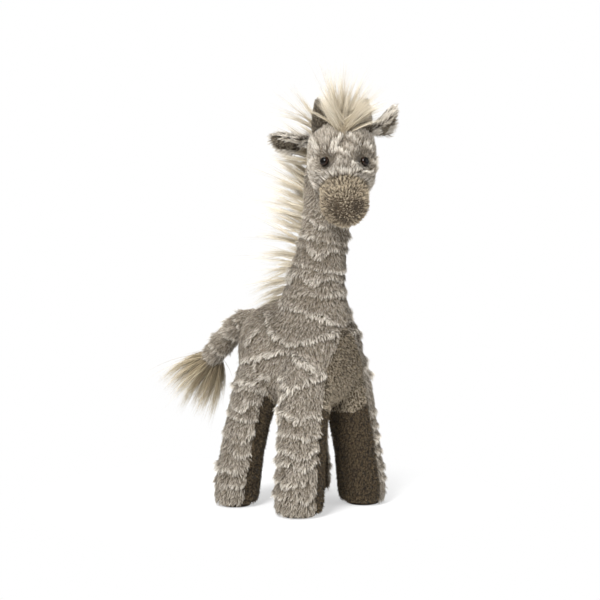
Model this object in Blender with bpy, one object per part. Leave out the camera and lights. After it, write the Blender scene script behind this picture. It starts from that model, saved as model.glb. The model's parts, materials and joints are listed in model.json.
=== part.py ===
"""A standing plush giraffe, sewn from pile fabric and stuffed with fibre, in metres, +Z up.

It faces -Y, and its left side is +X. The soles stand on Z = 0. The fabric panels are shells, open
where the seams join them, and the fibre filling lies inside them as its own solids.
"""
import math

import bmesh
import bpy
from mathutils import Matrix, Vector
from mathutils.bvhtree import BVHTree

# Fabric and seams
GAP = 0.0003
FABRIC = 0.0024
PANEL_SEAM = 0.0003
OVERRUN = 0.02
SHARP_EDGE_DEG = 50

# Torso
TORSO_LENGTH = 0.131
TORSO_WIDTH = 0.094
TORSO_HEIGHT = 0.105
TORSO_CENTRE_HEIGHT = 0.1525
TORSO_CENTRE_FORWARD = -0.0025
TORSO_POWER_ALONG = 2.9
TORSO_POWER_ROUND = 2.3
TORSO_HAUNCH_SHARE = 0.035
TORSO_HAUNCH_PLACE_SHARE = 0.45
TORSO_SIDES = 24
TORSO_RINGS = 12
TORSO_END_SHARE = 0.985
GUSSET_WIDTH = 0.052
GUSSET_TIP_WIDTH = 0.010
GUSSET_RISE = 0.0275
GUSSET_SHOULDER_DROP = 0.0125
GUSSET_TOP = TORSO_CENTRE_HEIGHT + GUSSET_RISE
GUSSET_SHOULDER = TORSO_CENTRE_HEIGHT - GUSSET_SHOULDER_DROP

# Legs
FRONT_TRACK = 0.0920
REAR_TRACK = 0.1060
FOOT_WHEELBASE = 0.082
FRONT_SPLAY_SIDE = 0.026
REAR_SPLAY_SIDE = 0.035
LEG_SPLAY_ALONG = 0.012
FRONT_LEG_RADIUS = 0.0232
REAR_LEG_RADIUS = 0.0217
LEG_TOP_RISE = 0.0135
LEG_TOP = TORSO_CENTRE_HEIGHT + LEG_TOP_RISE
LEG_SIDES = 16
SOLE_THICKNESS = 0.0025
SOLE_INSET = 0.0025
SOLE_SIDES = 24
LEG_HEIGHT_SHARES = (0.0, 0.045, 0.13, 0.30, 0.48, 0.64, 0.76, 0.88, 1.0)
LEG_RADIUS_SHARES = (0.90, 1.0, 1.03, 0.99, 1.02, 1.09, 1.17, 1.12, 0.90)
LEG_LEAN_SHARES = (0.0, 0.02, 0.05, 0.17, 0.34, 0.54, 0.72, 0.88, 1.0)

# Neck, from inside the shoulders to the seam under the head
NECK_BOTTOM_RISE = 0.0295
NECK_LENGTH = 0.151
NECK_BOTTOM = TORSO_CENTRE_HEIGHT + NECK_BOTTOM_RISE
NECK_TOP = NECK_BOTTOM + NECK_LENGTH
NECK_BASE_FORWARD = 0.014
NECK_TOP_FORWARD = 0.034
NECK_RADIUS = 0.0230
NECK_SIDES = 24
NECK_HEIGHT_SHARES = (0.0, 0.13, 0.28, 0.44, 0.58, 0.70, 0.80, 0.90, 1.0)
NECK_WIDTH_SHARES = (1.62, 1.42, 1.22, 1.12, 1.06, 1.01, 0.98, 0.96, 0.92)
NECK_DEPTH_SHARES = (1.95, 1.58, 1.27, 1.13, 1.06, 1.01, 0.98, 0.96, 0.92)
NECK_LEAN_SHARES = (0.0, 0.08, 0.26, 0.54, 0.82, 1.0, 1.0, 1.0, 1.0)
NECK_CLEARANCE = 0.0007
NECK_CLEARANCE_STATION = 5

# Head, from the back of the cranium to the nose
HEAD_TURN_DEG = 42
HEAD_PITCH_DEG = 53
HEAD_REACH = 0.016
HEAD_FORWARD = NECK_TOP_FORWARD + HEAD_REACH
HEAD_ASIDE = 0.0045
HEAD_RISE = 0.020
HEAD_HEIGHT = NECK_TOP + HEAD_RISE
CRANIUM_RADIUS = 0.0325
MUZZLE_RADIUS = 0.0228
MUZZLE_REACH = 0.063
HEAD_SIDES = 24
CRANIUM_RINGS = 7
CRANIUM_ARC_DEG = (-84, -4)
MUZZLE_RINGS = 5
MUZZLE_ARC_DEG = 84
FACE_REACH_SHARES = (0.12, 0.27, 0.45, 0.62)
FACE_RADIUS_SHARES = (0.995, 0.975, 0.93, 0.855)
MUZZLE_SEAM_SHARE = 0.76
MUZZLE_SEAM_RADIUS_SHARE = 0.965
NOSTRIL_RADIUS = 0.0030
NOSTRIL_DEPTH = 0.0012
NOSTRIL_SPREAD_DEG = 21
NOSTRIL_RISE_DEG = 27
NOSTRIL_SIDES = 10
NOSTRIL_RINGS = 5
NOSTRIL_ARC_DEG = 80

# Eyes
EYE_RADIUS = 0.0042
EYE_HEIGHT = 0.0036
EYE_SHANK_RADIUS = 0.0015
EYE_SHANK_LENGTH = 0.0085
EYE_SPREAD_DEG = 26
EYE_DROP_DEG = 17
EYE_SIDES = 16
EYE_RINGS = 5
EYE_ARC_DEG = 80
WASHER_RADIUS = 0.0055
WASHER_THICKNESS = 0.0012

# Horns
HORN_LENGTH = 0.034
HORN_RADIUS = 0.0096
HORN_SIDES = 16
HORN_SPREAD_DEG = 36
HORN_RISE_DEG = 82
HORN_LEAN_DEG = 12
HORN_SINK = 0.006
HORN_LENGTH_SHARES = (0.0, 0.35, 0.65, 0.85, 0.95, 1.0)
HORN_RADIUS_SHARES = (1.0, 0.86, 0.62, 0.42, 0.28, 0.12)

# Ears
EAR_LENGTH = 0.037
EAR_WIDTH = 0.0265
EAR_PANEL = 0.0026
EAR_LINING = 0.0016
EAR_LINING_GAP = 0.0003
EAR_CUP = 0.0100
EAR_ROOT_RADIUS = 0.0026
EAR_ACROSS = 10
EAR_LINING_WIDTH_SHARE = 0.80
EAR_LENGTH_SHARES = (-0.058, 0.0, 0.10, 0.25, 0.42, 0.60, 0.78, 0.92, 1.0)
EAR_WIDTH_SHARES = (0.34, 0.37, 0.50, 0.76, 0.96, 1.0, 0.84, 0.50, 0.16)
EAR_CUP_SHARES = (0.06, 0.08, 0.36, 0.82, 1.0, 0.8, 0.5, 0.2, 0.05)
EAR_THICKNESS_SHARES = (0.45, 1.0, 1.0, 1.0, 1.0, 1.0, 1.0, 0.9, 0.6)
EAR_RIGHT_RISE_DEG = -12
EAR_LEFT_RISE_DEG = 44
EAR_RIGHT_SEAT_DEG = 21
EAR_LEFT_SEAT_DEG = 35
EAR_BACK_DEG = 12
EAR_TIP_DEG = 56

# Tail
TAIL_LENGTH = 0.080
TAIL_ROOT_RADIUS = 0.0105
TAIL_END_RADIUS = 0.0093
TAIL_DROP_DEG = 34
TAIL_SIDES = 16
TAIL_ROOT_RINGS = 4
TAIL_ROOT_ARC_DEG = 80
TAIL_ROOT_RISE = 0.033
TAIL_ROOT_HEIGHT = TORSO_CENTRE_HEIGHT + TAIL_ROOT_RISE
TAIL_LENGTH_SHARES = (0.25, 0.5, 0.75, 0.93, 1.0)

# Long hair
SCATTER_TURN = 2.4
TUFT_LENGTH = 0.052
TUFT_RADIUS = 0.0150
TUFT_SIDES = 12
TUFT_LOCKS = 8
TUFT_LOCK_LENGTH = 0.052
TUFT_LOCK_RADIUS = 0.0060
TUFT_SPREAD_DEG = 24
TUFT_DROP_DEG = 14
TUFT_SPREAD_SCATTER_SHARE = 0.33
TUFT_LENGTH_SCATTER_SHARE = 0.125
TUFT_LENGTH_SHARES = (0.0, 0.10, 0.28, 0.48, 0.70)
TUFT_RADIUS_SHARES = (0.55, 0.85, 1.0, 0.86, 0.40)
MANE_TOP_INSET = 0.003
MANE_BOTTOM_INSET = 0.024
MANE_TOP = NECK_TOP - MANE_TOP_INSET
MANE_BOTTOM = NECK_BOTTOM + MANE_BOTTOM_INSET
MANE_STRIP_WIDTH = 0.013
MANE_STRIP_DEPTH = 0.010
MANE_LOCKS = 9
MANE_LOCK_LENGTH = 0.046
MANE_LOCK_RADIUS = 0.0062
MANE_FAN_DEG = 16
MANE_TOP_RISE_DEG = 40
MANE_BOTTOM_RISE_DEG = -14
MANE_STATIONS = 10
MANE_ROOT_RISE_SHARE = 0.125
STRIP_SIDES = 8
NAPE_LOCKS = 4
NAPE_STATIONS = 7
NAPE_LOCK_LENGTH = 0.030
NAPE_TOP_DEG = 88
NAPE_BOTTOM_DEG = 4
NAPE_STRIP_WIDTH = 0.012
NAPE_STRIP_DEPTH = 0.007
FORELOCK_WIDTH = 0.024
FORELOCK_DEPTH = 0.014
FORELOCK_LOCKS = 9
FORELOCK_LOCK_LENGTH = 0.050
FORELOCK_LOCK_RADIUS = 0.0070
FORELOCK_SPREAD_DEG = 54
FORELOCK_SEAT_DEG = 64
FORELOCK_LEAN_DEG = 4
FORELOCK_SIDES = 12
FORELOCK_ROOT_SPREAD_SHARE = 0.25
FORELOCK_SHORTEN_SHARE = 0.2
FORELOCK_BASE_HEIGHT_SHARES = (-0.8, 0.15, 0.6)
FORELOCK_BASE_WIDTH_SHARES = (0.9, 1.0, 0.75)
LOCK_SIDES = 6
LOCK_CURL_SHARE = 0.10
LOCK_LENGTH_SHARES = (0.0, 0.22, 0.50, 0.78)
LOCK_RADIUS_SHARES = (1.0, 0.95, 0.62, 0.28)

FRONT_STANCE = (FRONT_TRACK, FRONT_SPLAY_SIDE, FRONT_LEG_RADIUS)
REAR_STANCE = (REAR_TRACK, REAR_SPLAY_SIDE, REAR_LEG_RADIUS)
SIDES = (("left", 1), ("right", -1))
ENDS = (("front", 1), ("rear", -1))


def clear_scene():
    for obj in list(bpy.data.objects):
        bpy.data.objects.remove(obj, do_unlink=True)


def material(name, colour, roughness, metallic=0):
    made = bpy.data.materials.get(name)
    if made is None:
        made = bpy.data.materials.new(name)
        made.use_nodes = True
        made.diffuse_color = (*colour, 1)
        shader = made.node_tree.nodes["Principled BSDF"]
        shader.inputs["Base Color"].default_value = (*colour, 1)
        shader.inputs["Roughness"].default_value = roughness
        shader.inputs["Metallic"].default_value = metallic
    return made


def empty(name, parent=None, matrix=None):
    made = bpy.data.objects.new(name, None)
    bpy.context.scene.collection.objects.link(made)
    made.parent = parent
    if matrix is not None:
        made.matrix_local = matrix
    return made


def add(name, verts, faces, parent, look, matrix=None):
    """One named mesh object with closed, outward faces."""
    mesh = bpy.data.meshes.new(name)
    mesh.from_pydata([tuple(v) for v in verts], [], faces)
    work = bmesh.new()
    work.from_mesh(mesh)
    bmesh.ops.recalc_face_normals(work, faces=work.faces)
    bmesh.ops.triangulate(work, faces=[f for f in work.faces if len(f.verts) > 4])
    work.to_mesh(mesh)
    work.free()
    mesh.shade_smooth()
    mesh.set_sharp_from_angle(angle=math.radians(SHARP_EDGE_DEG))
    mesh.materials.append(look)
    made = bpy.data.objects.new(name, mesh)
    bpy.context.scene.collection.objects.link(made)
    made.parent = parent
    if matrix is not None:
        made.matrix_local = matrix
    return made


def helper(obj):
    obj.hide_render = True
    obj.display_type = "WIRE"
    return obj


def boolean(obj, other, operation, with_itself=False):
    modifier = obj.modifiers.new(operation.title(), "BOOLEAN")
    modifier.operation = operation
    modifier.solver = "EXACT"
    modifier.use_self = with_itself
    modifier.object = other


def skin_faces(rings, sides, start=0):
    """Quads between consecutive rings of equal count."""
    faces = []
    for ring in range(rings - 1):
        for side in range(sides):
            a = start + ring * sides + side
            b = start + ring * sides + (side + 1) % sides
            faces.append((a, b, b + sides, a + sides))
    return faces


def loft(rings):
    """A closed solid through rings of equal count, with flat ends."""
    sides = len(rings[0])
    faces = skin_faces(len(rings), sides)
    last = (len(rings) - 1) * sides
    faces.append(tuple(range(sides))[::-1])
    faces.append(tuple(range(last, last + sides)))
    return [v for ring in rings for v in ring], faces


def sleeve(outer, inner):
    """A tube wall between two sets of rings, open at both ends."""
    sides = len(outer[0])
    verts, _ = loft(outer + inner[::-1])
    faces = skin_faces(2 * len(outer), sides)
    last = (2 * len(outer) - 1) * sides
    for side in range(sides):
        after = (side + 1) % sides
        faces.append((last + side, last + after, after, side))
    return verts, faces


def cup(outer, inner):
    """A wall closed at its first ring and open at its last."""
    return loft(outer + inner[::-1])


def between(low, high, share):
    return low + (high - low) * share


def interpolate(shares, values, share):
    for i in range(len(shares) - 1):
        if share <= shares[i + 1]:
            step = (share - shares[i]) / (shares[i + 1] - shares[i])
            smooth = step * step * (3 - 2 * step)
            return between(values[i], values[i + 1], smooth)
    return values[-1]


def circle_angles(sides):
    return [2 * math.pi * i / sides for i in range(sides)]


# Torso

def torso_rings(grow):
    """Rings of the torso's outline, moved out by grow, from the rump to the chest."""
    rings = []
    for i in range(TORSO_RINGS):
        turn = math.pi * (i / (TORSO_RINGS - 1) - 0.5)
        along = TORSO_END_SHARE * math.sin(turn)
        size = (1 - abs(along) ** TORSO_POWER_ALONG) ** (1 / TORSO_POWER_ALONG)
        haunch = 1 + TORSO_HAUNCH_SHARE * math.cos(math.pi * (along + TORSO_HAUNCH_PLACE_SHARE)) * size
        ring = []
        for angle in circle_angles(TORSO_SIDES):
            across = math.copysign(abs(math.cos(angle)) ** (2 / TORSO_POWER_ROUND), math.cos(angle))
            up = math.copysign(abs(math.sin(angle)) ** (2 / TORSO_POWER_ROUND), math.sin(angle))
            ring.append(Vector((
                across * size * haunch * (TORSO_WIDTH / 2 + grow),
                -TORSO_CENTRE_FORWARD - along * (TORSO_LENGTH / 2 + grow),
                TORSO_CENTRE_HEIGHT + up * size * (TORSO_HEIGHT / 2 + grow),
            )))
        rings.append(ring)
    return rings


def torso_form(name, grow, parent, look):
    return add(name, *loft(torso_rings(grow)), parent, look)


# Legs

def leg_station(side, end, share):
    """Centre and radius of a leg at a share of its height."""
    lean = interpolate(LEG_HEIGHT_SHARES, LEG_LEAN_SHARES, share)
    track, splay, radius = FRONT_STANCE if end > 0 else REAR_STANCE
    radius *= interpolate(LEG_HEIGHT_SHARES, LEG_RADIUS_SHARES, share)
    across = side * (track / 2 - splay * lean)
    along = -end * (FOOT_WHEELBASE / 2 - LEG_SPLAY_ALONG * lean)
    return across, along, radius


def leg_ring(side, end, share, bottom, grow, angles):
    across, along, radius = leg_station(side, end, share)
    height = between(bottom, LEG_TOP, share)
    return [
        Vector((
            across + side * (radius + grow) * math.cos(a),
            along + (radius + grow) * math.sin(a),
            height,
        ))
        for a in angles
    ]


def leg_form(name, side, end, grow, parent, look):
    bottom = SOLE_THICKNESS + GAP
    angles = circle_angles(LEG_SIDES)
    rings = [leg_ring(side, end, s, bottom, grow, angles) for s in LEG_HEIGHT_SHARES]
    return add(name, *loft(rings), parent, look)


def leg_panel(name, side, end, outward, parent, look):
    """One half of a leg's skin, a C in section, from its front seam round to its rear seam."""
    bottom = SOLE_THICKNESS + GAP
    rings = []
    for share in LEG_HEIGHT_SHARES:
        radius = leg_station(side, end, share)[2] - FABRIC
        trim = PANEL_SEAM / 2 / radius
        steps = LEG_SIDES // 2
        half = math.pi / 2 - trim
        start = 0 if outward else math.pi
        arc = [start + between(-half, half, i / steps) for i in range(steps + 1)]
        outer = leg_ring(side, end, share, bottom, 0, arc)
        inner = leg_ring(side, end, share, bottom, -FABRIC, arc)
        rings.append(outer + inner[::-1])
    return add(name, *loft(rings), parent, look)


def sole(name, side, end, parent, look):
    across, along, radius = leg_station(side, end, 0)
    profile = (
        (radius - SOLE_INSET, 0),
        (radius - SOLE_INSET / 2, SOLE_THICKNESS / 3),
        (radius - SOLE_INSET / 2, SOLE_THICKNESS),
    )
    rings = [
        [Vector((across + r * math.cos(a), along + r * math.sin(a), z)) for a in circle_angles(SOLE_SIDES)]
        for r, z in profile
    ]
    return add(name, *loft(rings), parent, look)


# Neck

def neck_station(share):
    lean = interpolate(NECK_HEIGHT_SHARES, NECK_LEAN_SHARES, share)
    wide = NECK_RADIUS * interpolate(NECK_HEIGHT_SHARES, NECK_WIDTH_SHARES, share)
    deep = NECK_RADIUS * interpolate(NECK_HEIGHT_SHARES, NECK_DEPTH_SHARES, share)
    forward = between(NECK_BASE_FORWARD, NECK_TOP_FORWARD, lean)
    return forward, wide, deep, between(NECK_BOTTOM, NECK_TOP, share)


def neck_ring(share, grow, sides=NECK_SIDES):
    forward, wide, deep, height = neck_station(share)
    return [
        Vector(((wide + grow) * math.cos(a), -forward + (deep + grow) * math.sin(a), height))
        for a in circle_angles(sides)
    ]


def neck_clearance_form(parent, look):
    """The space that the head leaves for the neck: a body of revolution about the turning axis."""
    facet = math.cos(math.pi / NECK_SIDES)
    rings = []
    for share in NECK_HEIGHT_SHARES[NECK_CLEARANCE_STATION:]:
        _, wide, _, height = neck_station(share)
        radius = (wide + NECK_CLEARANCE) / facet
        rings.append([
            Vector((radius * math.cos(a), radius * math.sin(a), height - HEAD_HEIGHT))
            for a in circle_angles(NECK_SIDES)
        ])
    low = [v - Vector((0, 0, OVERRUN)) for v in rings[0]]
    high = [Vector((v.x, v.y, v.z + NECK_CLEARANCE)) for v in rings[-1]]
    place = Matrix.Translation((0, -NECK_TOP_FORWARD, HEAD_HEIGHT))
    return helper(add("neck_clearance", *loft([low] + rings[:-1] + [high]), parent, look, place))


# Head, in its own frame: the cranium's centre is the origin, and the face looks along -Y

def head_profile():
    """(distance along the head's axis, radius) from the back of the cranium to the nose."""
    points = []
    for i in range(CRANIUM_RINGS):
        turn = math.radians(between(*CRANIUM_ARC_DEG, i / (CRANIUM_RINGS - 1)))
        points.append((CRANIUM_RADIUS * math.sin(turn), CRANIUM_RADIUS * math.cos(turn)))
    for reach, radius in zip(FACE_REACH_SHARES, FACE_RADIUS_SHARES):
        points.append((MUZZLE_REACH * reach, CRANIUM_RADIUS * radius))
    return points


def muzzle_profile():
    """The muzzle's part of the same profile, from its seam to the nose."""
    seam = MUZZLE_REACH * MUZZLE_SEAM_SHARE
    points = [(seam, MUZZLE_RADIUS * MUZZLE_SEAM_RADIUS_SHARE)]
    for i in range(MUZZLE_RINGS + 1):
        turn = math.radians(between(0, MUZZLE_ARC_DEG, i / MUZZLE_RINGS))
        points.append((MUZZLE_REACH + MUZZLE_RADIUS * math.sin(turn), MUZZLE_RADIUS * math.cos(turn)))
    return points


def moved_profile(points, grow):
    """The profile moved along its own normals."""
    moved = []
    for i, (along, radius) in enumerate(points):
        before = points[max(i - 1, 0)]
        after = points[min(i + 1, len(points) - 1)]
        slope = Vector((after[0] - before[0], after[1] - before[1])).normalized()
        moved.append((along - slope.y * grow, radius + slope.x * grow))
    return moved


def head_rings(points):
    """Rings of a profile round the head's axis, which runs forward and down."""
    turn = Matrix.Rotation(math.radians(90 + HEAD_PITCH_DEG), 3, "X")
    return [
        [turn @ Vector((r * math.cos(a), r * math.sin(a), s)) for a in circle_angles(HEAD_SIDES)]
        for s, r in points
    ]


def head_form(name, grow, parent, look):
    points = moved_profile(head_profile() + muzzle_profile(), grow)
    return add(name, *loft(head_rings(points)), parent, look)


def aim(side, spread, rise):
    """A direction from the cranium's centre: spread to the side, rise above the level of the face."""
    spread, rise = math.radians(spread), math.radians(rise)
    return Vector((
        side * math.sin(spread),
        -math.cos(spread) * math.cos(rise),
        math.cos(spread) * math.sin(rise),
    ))


def seat_on(form, start, direction):
    """Where a ray from inside a form leaves it, and the outward normal there."""
    mesh = form.data
    tree = BVHTree.FromPolygons([v.co for v in mesh.vertices], [p.vertices for p in mesh.polygons])
    place, normal, _, _ = tree.ray_cast(start, direction)
    if normal.dot(direction) < 0:
        normal = -normal
    return place, normal


def frame_at(place, up, toward):
    """A matrix whose Z is up and whose X points toward, made square to Z."""
    z = up.normalized()
    x = (toward - z * toward.dot(z)).normalized()
    y = z.cross(x)
    made = Matrix((x, y, z)).transposed().to_4x4()
    made.translation = place
    return made


def turned(profile, sides):
    return [
        [Vector((r * math.cos(a), r * math.sin(a), z)) for a in circle_angles(sides)]
        for z, r in profile
    ]


# Eyes

def eye_profile(grow):
    """Shank, flat back and dome of a safety eye. Z = 0 is the fabric's surface."""
    shank = EYE_SHANK_RADIUS + grow
    points = [(-EYE_SHANK_LENGTH - grow, shank), (GAP, shank), (GAP, EYE_RADIUS)]
    for i in range(1, EYE_RINGS + 1):
        turn = math.radians(between(0, EYE_ARC_DEG, i / EYE_RINGS))
        points.append((GAP + EYE_HEIGHT * math.sin(turn), EYE_RADIUS * math.cos(turn)))
    return points


def shank_hole(name, grow, parent, look, matrix):
    top = GAP / 2
    profile = [(-EYE_SHANK_LENGTH - grow, EYE_SHANK_RADIUS + grow), (top, EYE_SHANK_RADIUS + grow)]
    return helper(add(name, *loft(turned(profile, EYE_SIDES)), parent, look, matrix))


def washer_form(name, grow, parent, look, matrix):
    high = -FABRIC - 2 * GAP
    profile = [(high - WASHER_THICKNESS - grow, WASHER_RADIUS + grow), (high + grow, WASHER_RADIUS + grow)]
    return add(name, *loft(turned(profile, EYE_SIDES)), parent, look, matrix)


# Ears, in their own frame: X runs from the root to the tip, Z is the side with the lining

def ear_section(station, width, cup_depth, low, high):
    """A cupped strip in section, from its lower face round to its upper face."""
    across = [between(-1, 1, i / EAR_ACROSS) for i in range(EAR_ACROSS + 1)]
    lower = [Vector((station, v * width / 2, cup_depth * v * v + low)) for v in across]
    upper = [Vector((station, v * width / 2, cup_depth * v * v + high)) for v in across]
    return lower + upper[::-1]


def ear_panel(name, parent, look):
    rings = []
    for i, share in enumerate(EAR_LENGTH_SHARES):
        half = EAR_PANEL / 2 * EAR_THICKNESS_SHARES[i]
        width = EAR_WIDTH * EAR_WIDTH_SHARES[i]
        deep = EAR_CUP * EAR_CUP_SHARES[i]
        rings.append(ear_section(EAR_LENGTH * share, width, deep, -half, half))
    return add(name, *loft(rings), parent, look)


def ear_lining(name, parent, look):
    rings = []
    for i in range(2, len(EAR_LENGTH_SHARES) - 1):
        low = EAR_PANEL / 2 * EAR_THICKNESS_SHARES[i] + EAR_LINING_GAP
        width = EAR_WIDTH * EAR_WIDTH_SHARES[i]
        deep = EAR_CUP * EAR_CUP_SHARES[i]
        whole = ear_section(EAR_LENGTH * EAR_LENGTH_SHARES[i], width, deep, low, low + EAR_LINING)
        rings.append([
            Vector((v.x, v.y * EAR_LINING_WIDTH_SHARE, v.z - deep * (1 - EAR_LINING_WIDTH_SHARE ** 2)
                    * (2 * v.y / width) ** 2))
            for v in whole
        ])
    return add(name, *loft(rings), parent, look)


# Long hair

def lock(root, direction, bend, length, radius):
    """One tapered lock of hair, bent a little, as a closed cone."""
    direction = direction.normalized()
    side = direction.orthogonal().normalized()
    other = direction.cross(side)
    rings = []
    for along, wide in zip(LOCK_LENGTH_SHARES, LOCK_RADIUS_SHARES):
        centre = root + direction * length * along + bend * length * LOCK_CURL_SHARE * along * along
        rings.append([
            centre + (side * math.cos(a) + other * math.sin(a)) * radius * wide
            for a in circle_angles(LOCK_SIDES)
        ])
    tip = root + direction * length + bend * length * LOCK_CURL_SHARE
    verts = [v for ring in rings for v in ring] + [tip]
    faces = skin_faces(len(rings), LOCK_SIDES)
    faces.append(tuple(range(LOCK_SIDES))[::-1])
    last = (len(rings) - 1) * LOCK_SIDES
    for i in range(LOCK_SIDES):
        faces.append((last + i, last + (i + 1) % LOCK_SIDES, len(verts) - 1))
    return verts, faces


def locks_object(name, locks, parent, look, matrix=None):
    verts, faces = [], []
    for lock_verts, lock_faces in locks:
        start = len(verts)
        verts += lock_verts
        faces += [tuple(start + i for i in face) for face in lock_faces]
    return helper(add(name, verts, faces, parent, look, matrix))


def strip(centres, outs, across, width, depth):
    """A rounded strip that follows a line, with its flat side towards the fabric."""
    rings = []
    for centre, out in zip(centres, outs):
        ring = []
        for a in circle_angles(STRIP_SIDES):
            ring.append(centre + across * math.cos(a) * width / 2 + out * math.sin(a) * depth / 2)
        rings.append(ring)
    return loft(rings)


def mane(parent, look, neck_cut):
    backward, across, up = Vector((0, 1, 0)), Vector((1, 0, 0)), Vector((0, 0, 1))

    def on_back(height):
        share = (height - NECK_BOTTOM) / (NECK_TOP - NECK_BOTTOM)
        forward, _, deep, _ = neck_station(share)
        return Vector((0, -forward + deep, height))

    steps = [i / (MANE_STATIONS - 1) for i in range(MANE_STATIONS)]
    centres = [on_back(between(MANE_BOTTOM, MANE_TOP, s)) for s in steps]
    made = add("neck_mane", *strip(centres, [backward] * MANE_STATIONS, across,
                                   MANE_STRIP_WIDTH, MANE_STRIP_DEPTH), parent, look)
    locks = []
    for i in range(MANE_LOCKS):
        share = (i + 0.5) / MANE_LOCKS
        rise = math.radians(between(MANE_BOTTOM_RISE_DEG, MANE_TOP_RISE_DEG, share))
        fan = math.radians(MANE_FAN_DEG * math.sin(SCATTER_TURN * i))
        direction = Vector((math.sin(fan) * math.cos(rise), math.cos(fan) * math.cos(rise), math.sin(rise)))
        rooted = backward * MANE_STRIP_DEPTH * MANE_ROOT_RISE_SHARE
        root = on_back(between(MANE_BOTTOM, MANE_TOP, share)) + rooted
        locks.append(lock(root, direction, -up, MANE_LOCK_LENGTH, MANE_LOCK_RADIUS))
    boolean(made, locks_object("neck_mane_locks", locks, parent, look), "UNION", True)
    boolean(made, neck_cut, "DIFFERENCE")
    return made


def nape_mane(parent, look, head, head_cut, neck_space):
    across = Vector((1, 0, 0))
    centres, outs, locks = [], [], []
    for i in range(NAPE_STATIONS):
        rise = math.radians(between(NAPE_BOTTOM_DEG, NAPE_TOP_DEG, i / (NAPE_STATIONS - 1)))
        direction = Vector((0, math.cos(rise), math.sin(rise)))
        place, normal = seat_on(head, Vector((0, 0, 0)), direction)
        centres.append(place)
        outs.append(normal)
    for i in range(NAPE_LOCKS):
        rise = math.radians(between(NAPE_BOTTOM_DEG, NAPE_TOP_DEG, (i + 0.5) / NAPE_LOCKS))
        direction = Vector((0, math.cos(rise), math.sin(rise)))
        place, normal = seat_on(head, Vector((0, 0, 0)), direction)
        fan = Vector((math.sin(SCATTER_TURN * i) * math.tan(math.radians(MANE_FAN_DEG)), 0, 0))
        locks.append(lock(place, normal + fan, Vector((0, 0, -1)), NAPE_LOCK_LENGTH, MANE_LOCK_RADIUS))
    made = add("nape_mane", *strip(centres, outs, across, NAPE_STRIP_WIDTH, NAPE_STRIP_DEPTH), parent, look)
    boolean(made, locks_object("nape_mane_locks", locks, parent, look), "UNION", True)
    boolean(made, head_cut, "DIFFERENCE")
    boolean(made, neck_space, "DIFFERENCE")
    return made


def forelock(parent, look, head, head_cut):
    seat = math.radians(FORELOCK_SEAT_DEG)
    direction = Vector((0, -math.cos(seat), math.sin(seat)))
    place, normal = seat_on(head, Vector((0, 0, 0)), direction)
    frame = frame_at(place, normal, Vector((1, 0, 0)))
    base = []
    for height_share, wide in zip(FORELOCK_BASE_HEIGHT_SHARES, FORELOCK_BASE_WIDTH_SHARES):
        base.append([
            Vector((
                wide * FORELOCK_WIDTH / 2 * math.cos(a),
                wide * FORELOCK_DEPTH / 2 * math.sin(a),
                height_share * FORELOCK_DEPTH / 2,
            ))
            for a in circle_angles(FORELOCK_SIDES)
        ])
    made = add("forelock", *loft(base), parent, look, frame)
    locks = []
    for i in range(FORELOCK_LOCKS):
        share = 2 * i / (FORELOCK_LOCKS - 1) - 1
        lean = math.radians(FORELOCK_SPREAD_DEG * share)
        tip = math.radians(FORELOCK_LEAN_DEG + MANE_FAN_DEG / 2 * math.sin(SCATTER_TURN * i))
        way = Vector((math.sin(lean), math.sin(tip), math.cos(lean)))
        root = Vector((share * FORELOCK_WIDTH * FORELOCK_ROOT_SPREAD_SHARE, 0, 0))
        length = FORELOCK_LOCK_LENGTH * (1 - FORELOCK_SHORTEN_SHARE * abs(share))
        locks.append(lock(root, way, Vector((share, 0, 0)), length, FORELOCK_LOCK_RADIUS))
    boolean(made, locks_object("forelock_locks", locks, parent, look, frame), "UNION", True)
    boolean(made, head_cut, "DIFFERENCE")
    for side_name, _ in SIDES:
        boolean(made, bpy.data.objects[f"horn_space_{side_name}"], "DIFFERENCE")
    return made


# Tail, in its own frame: Z runs from the root to the tip

def tail_profile(grow):
    points = []
    root = TAIL_ROOT_RADIUS + grow
    for i in range(TAIL_ROOT_RINGS):
        turn = math.radians(between(-TAIL_ROOT_ARC_DEG, 0, i / (TAIL_ROOT_RINGS - 1)))
        points.append((root * math.sin(turn), root * math.cos(turn)))
    for share in TAIL_LENGTH_SHARES:
        radius = between(TAIL_ROOT_RADIUS, TAIL_END_RADIUS, share) + grow
        points.append((TAIL_LENGTH * share + (grow if share == TAIL_LENGTH_SHARES[-1] else 0), radius))
    return points


def tail_tuft(parent, look):
    start = TAIL_LENGTH + GAP
    body = turned(
        [(start + TUFT_LENGTH * s, TUFT_RADIUS * r) for s, r in zip(TUFT_LENGTH_SHARES, TUFT_RADIUS_SHARES)],
        TUFT_SIDES,
    )
    made = add("tail_tuft", *loft(body), parent, look)
    locks = []
    for i in range(TUFT_LOCKS):
        turn = 2 * math.pi * i / TUFT_LOCKS
        out = Vector((math.cos(turn), math.sin(turn), 0))
        root = Vector((0, 0, start + TUFT_LENGTH * TUFT_LENGTH_SHARES[2])) + out * TUFT_RADIUS / 2
        scatter = TUFT_SPREAD_SCATTER_SHARE * math.sin(SCATTER_TURN * i)
        spread = math.tan(math.radians(TUFT_SPREAD_DEG * (1 + scatter)))
        sag = Vector((0, math.tan(math.radians(TUFT_DROP_DEG)), 0))
        direction = Vector((0, 0, 1)) + out * spread + sag
        length = TUFT_LOCK_LENGTH * (1 + TUFT_LENGTH_SCATTER_SHARE * math.cos(SCATTER_TURN * i))
        locks.append(lock(root, direction, out, length, TUFT_LOCK_RADIUS))
    boolean(made, locks_object("tail_tuft_locks", locks, parent, look), "UNION", True)
    return made


# Assembly

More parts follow.
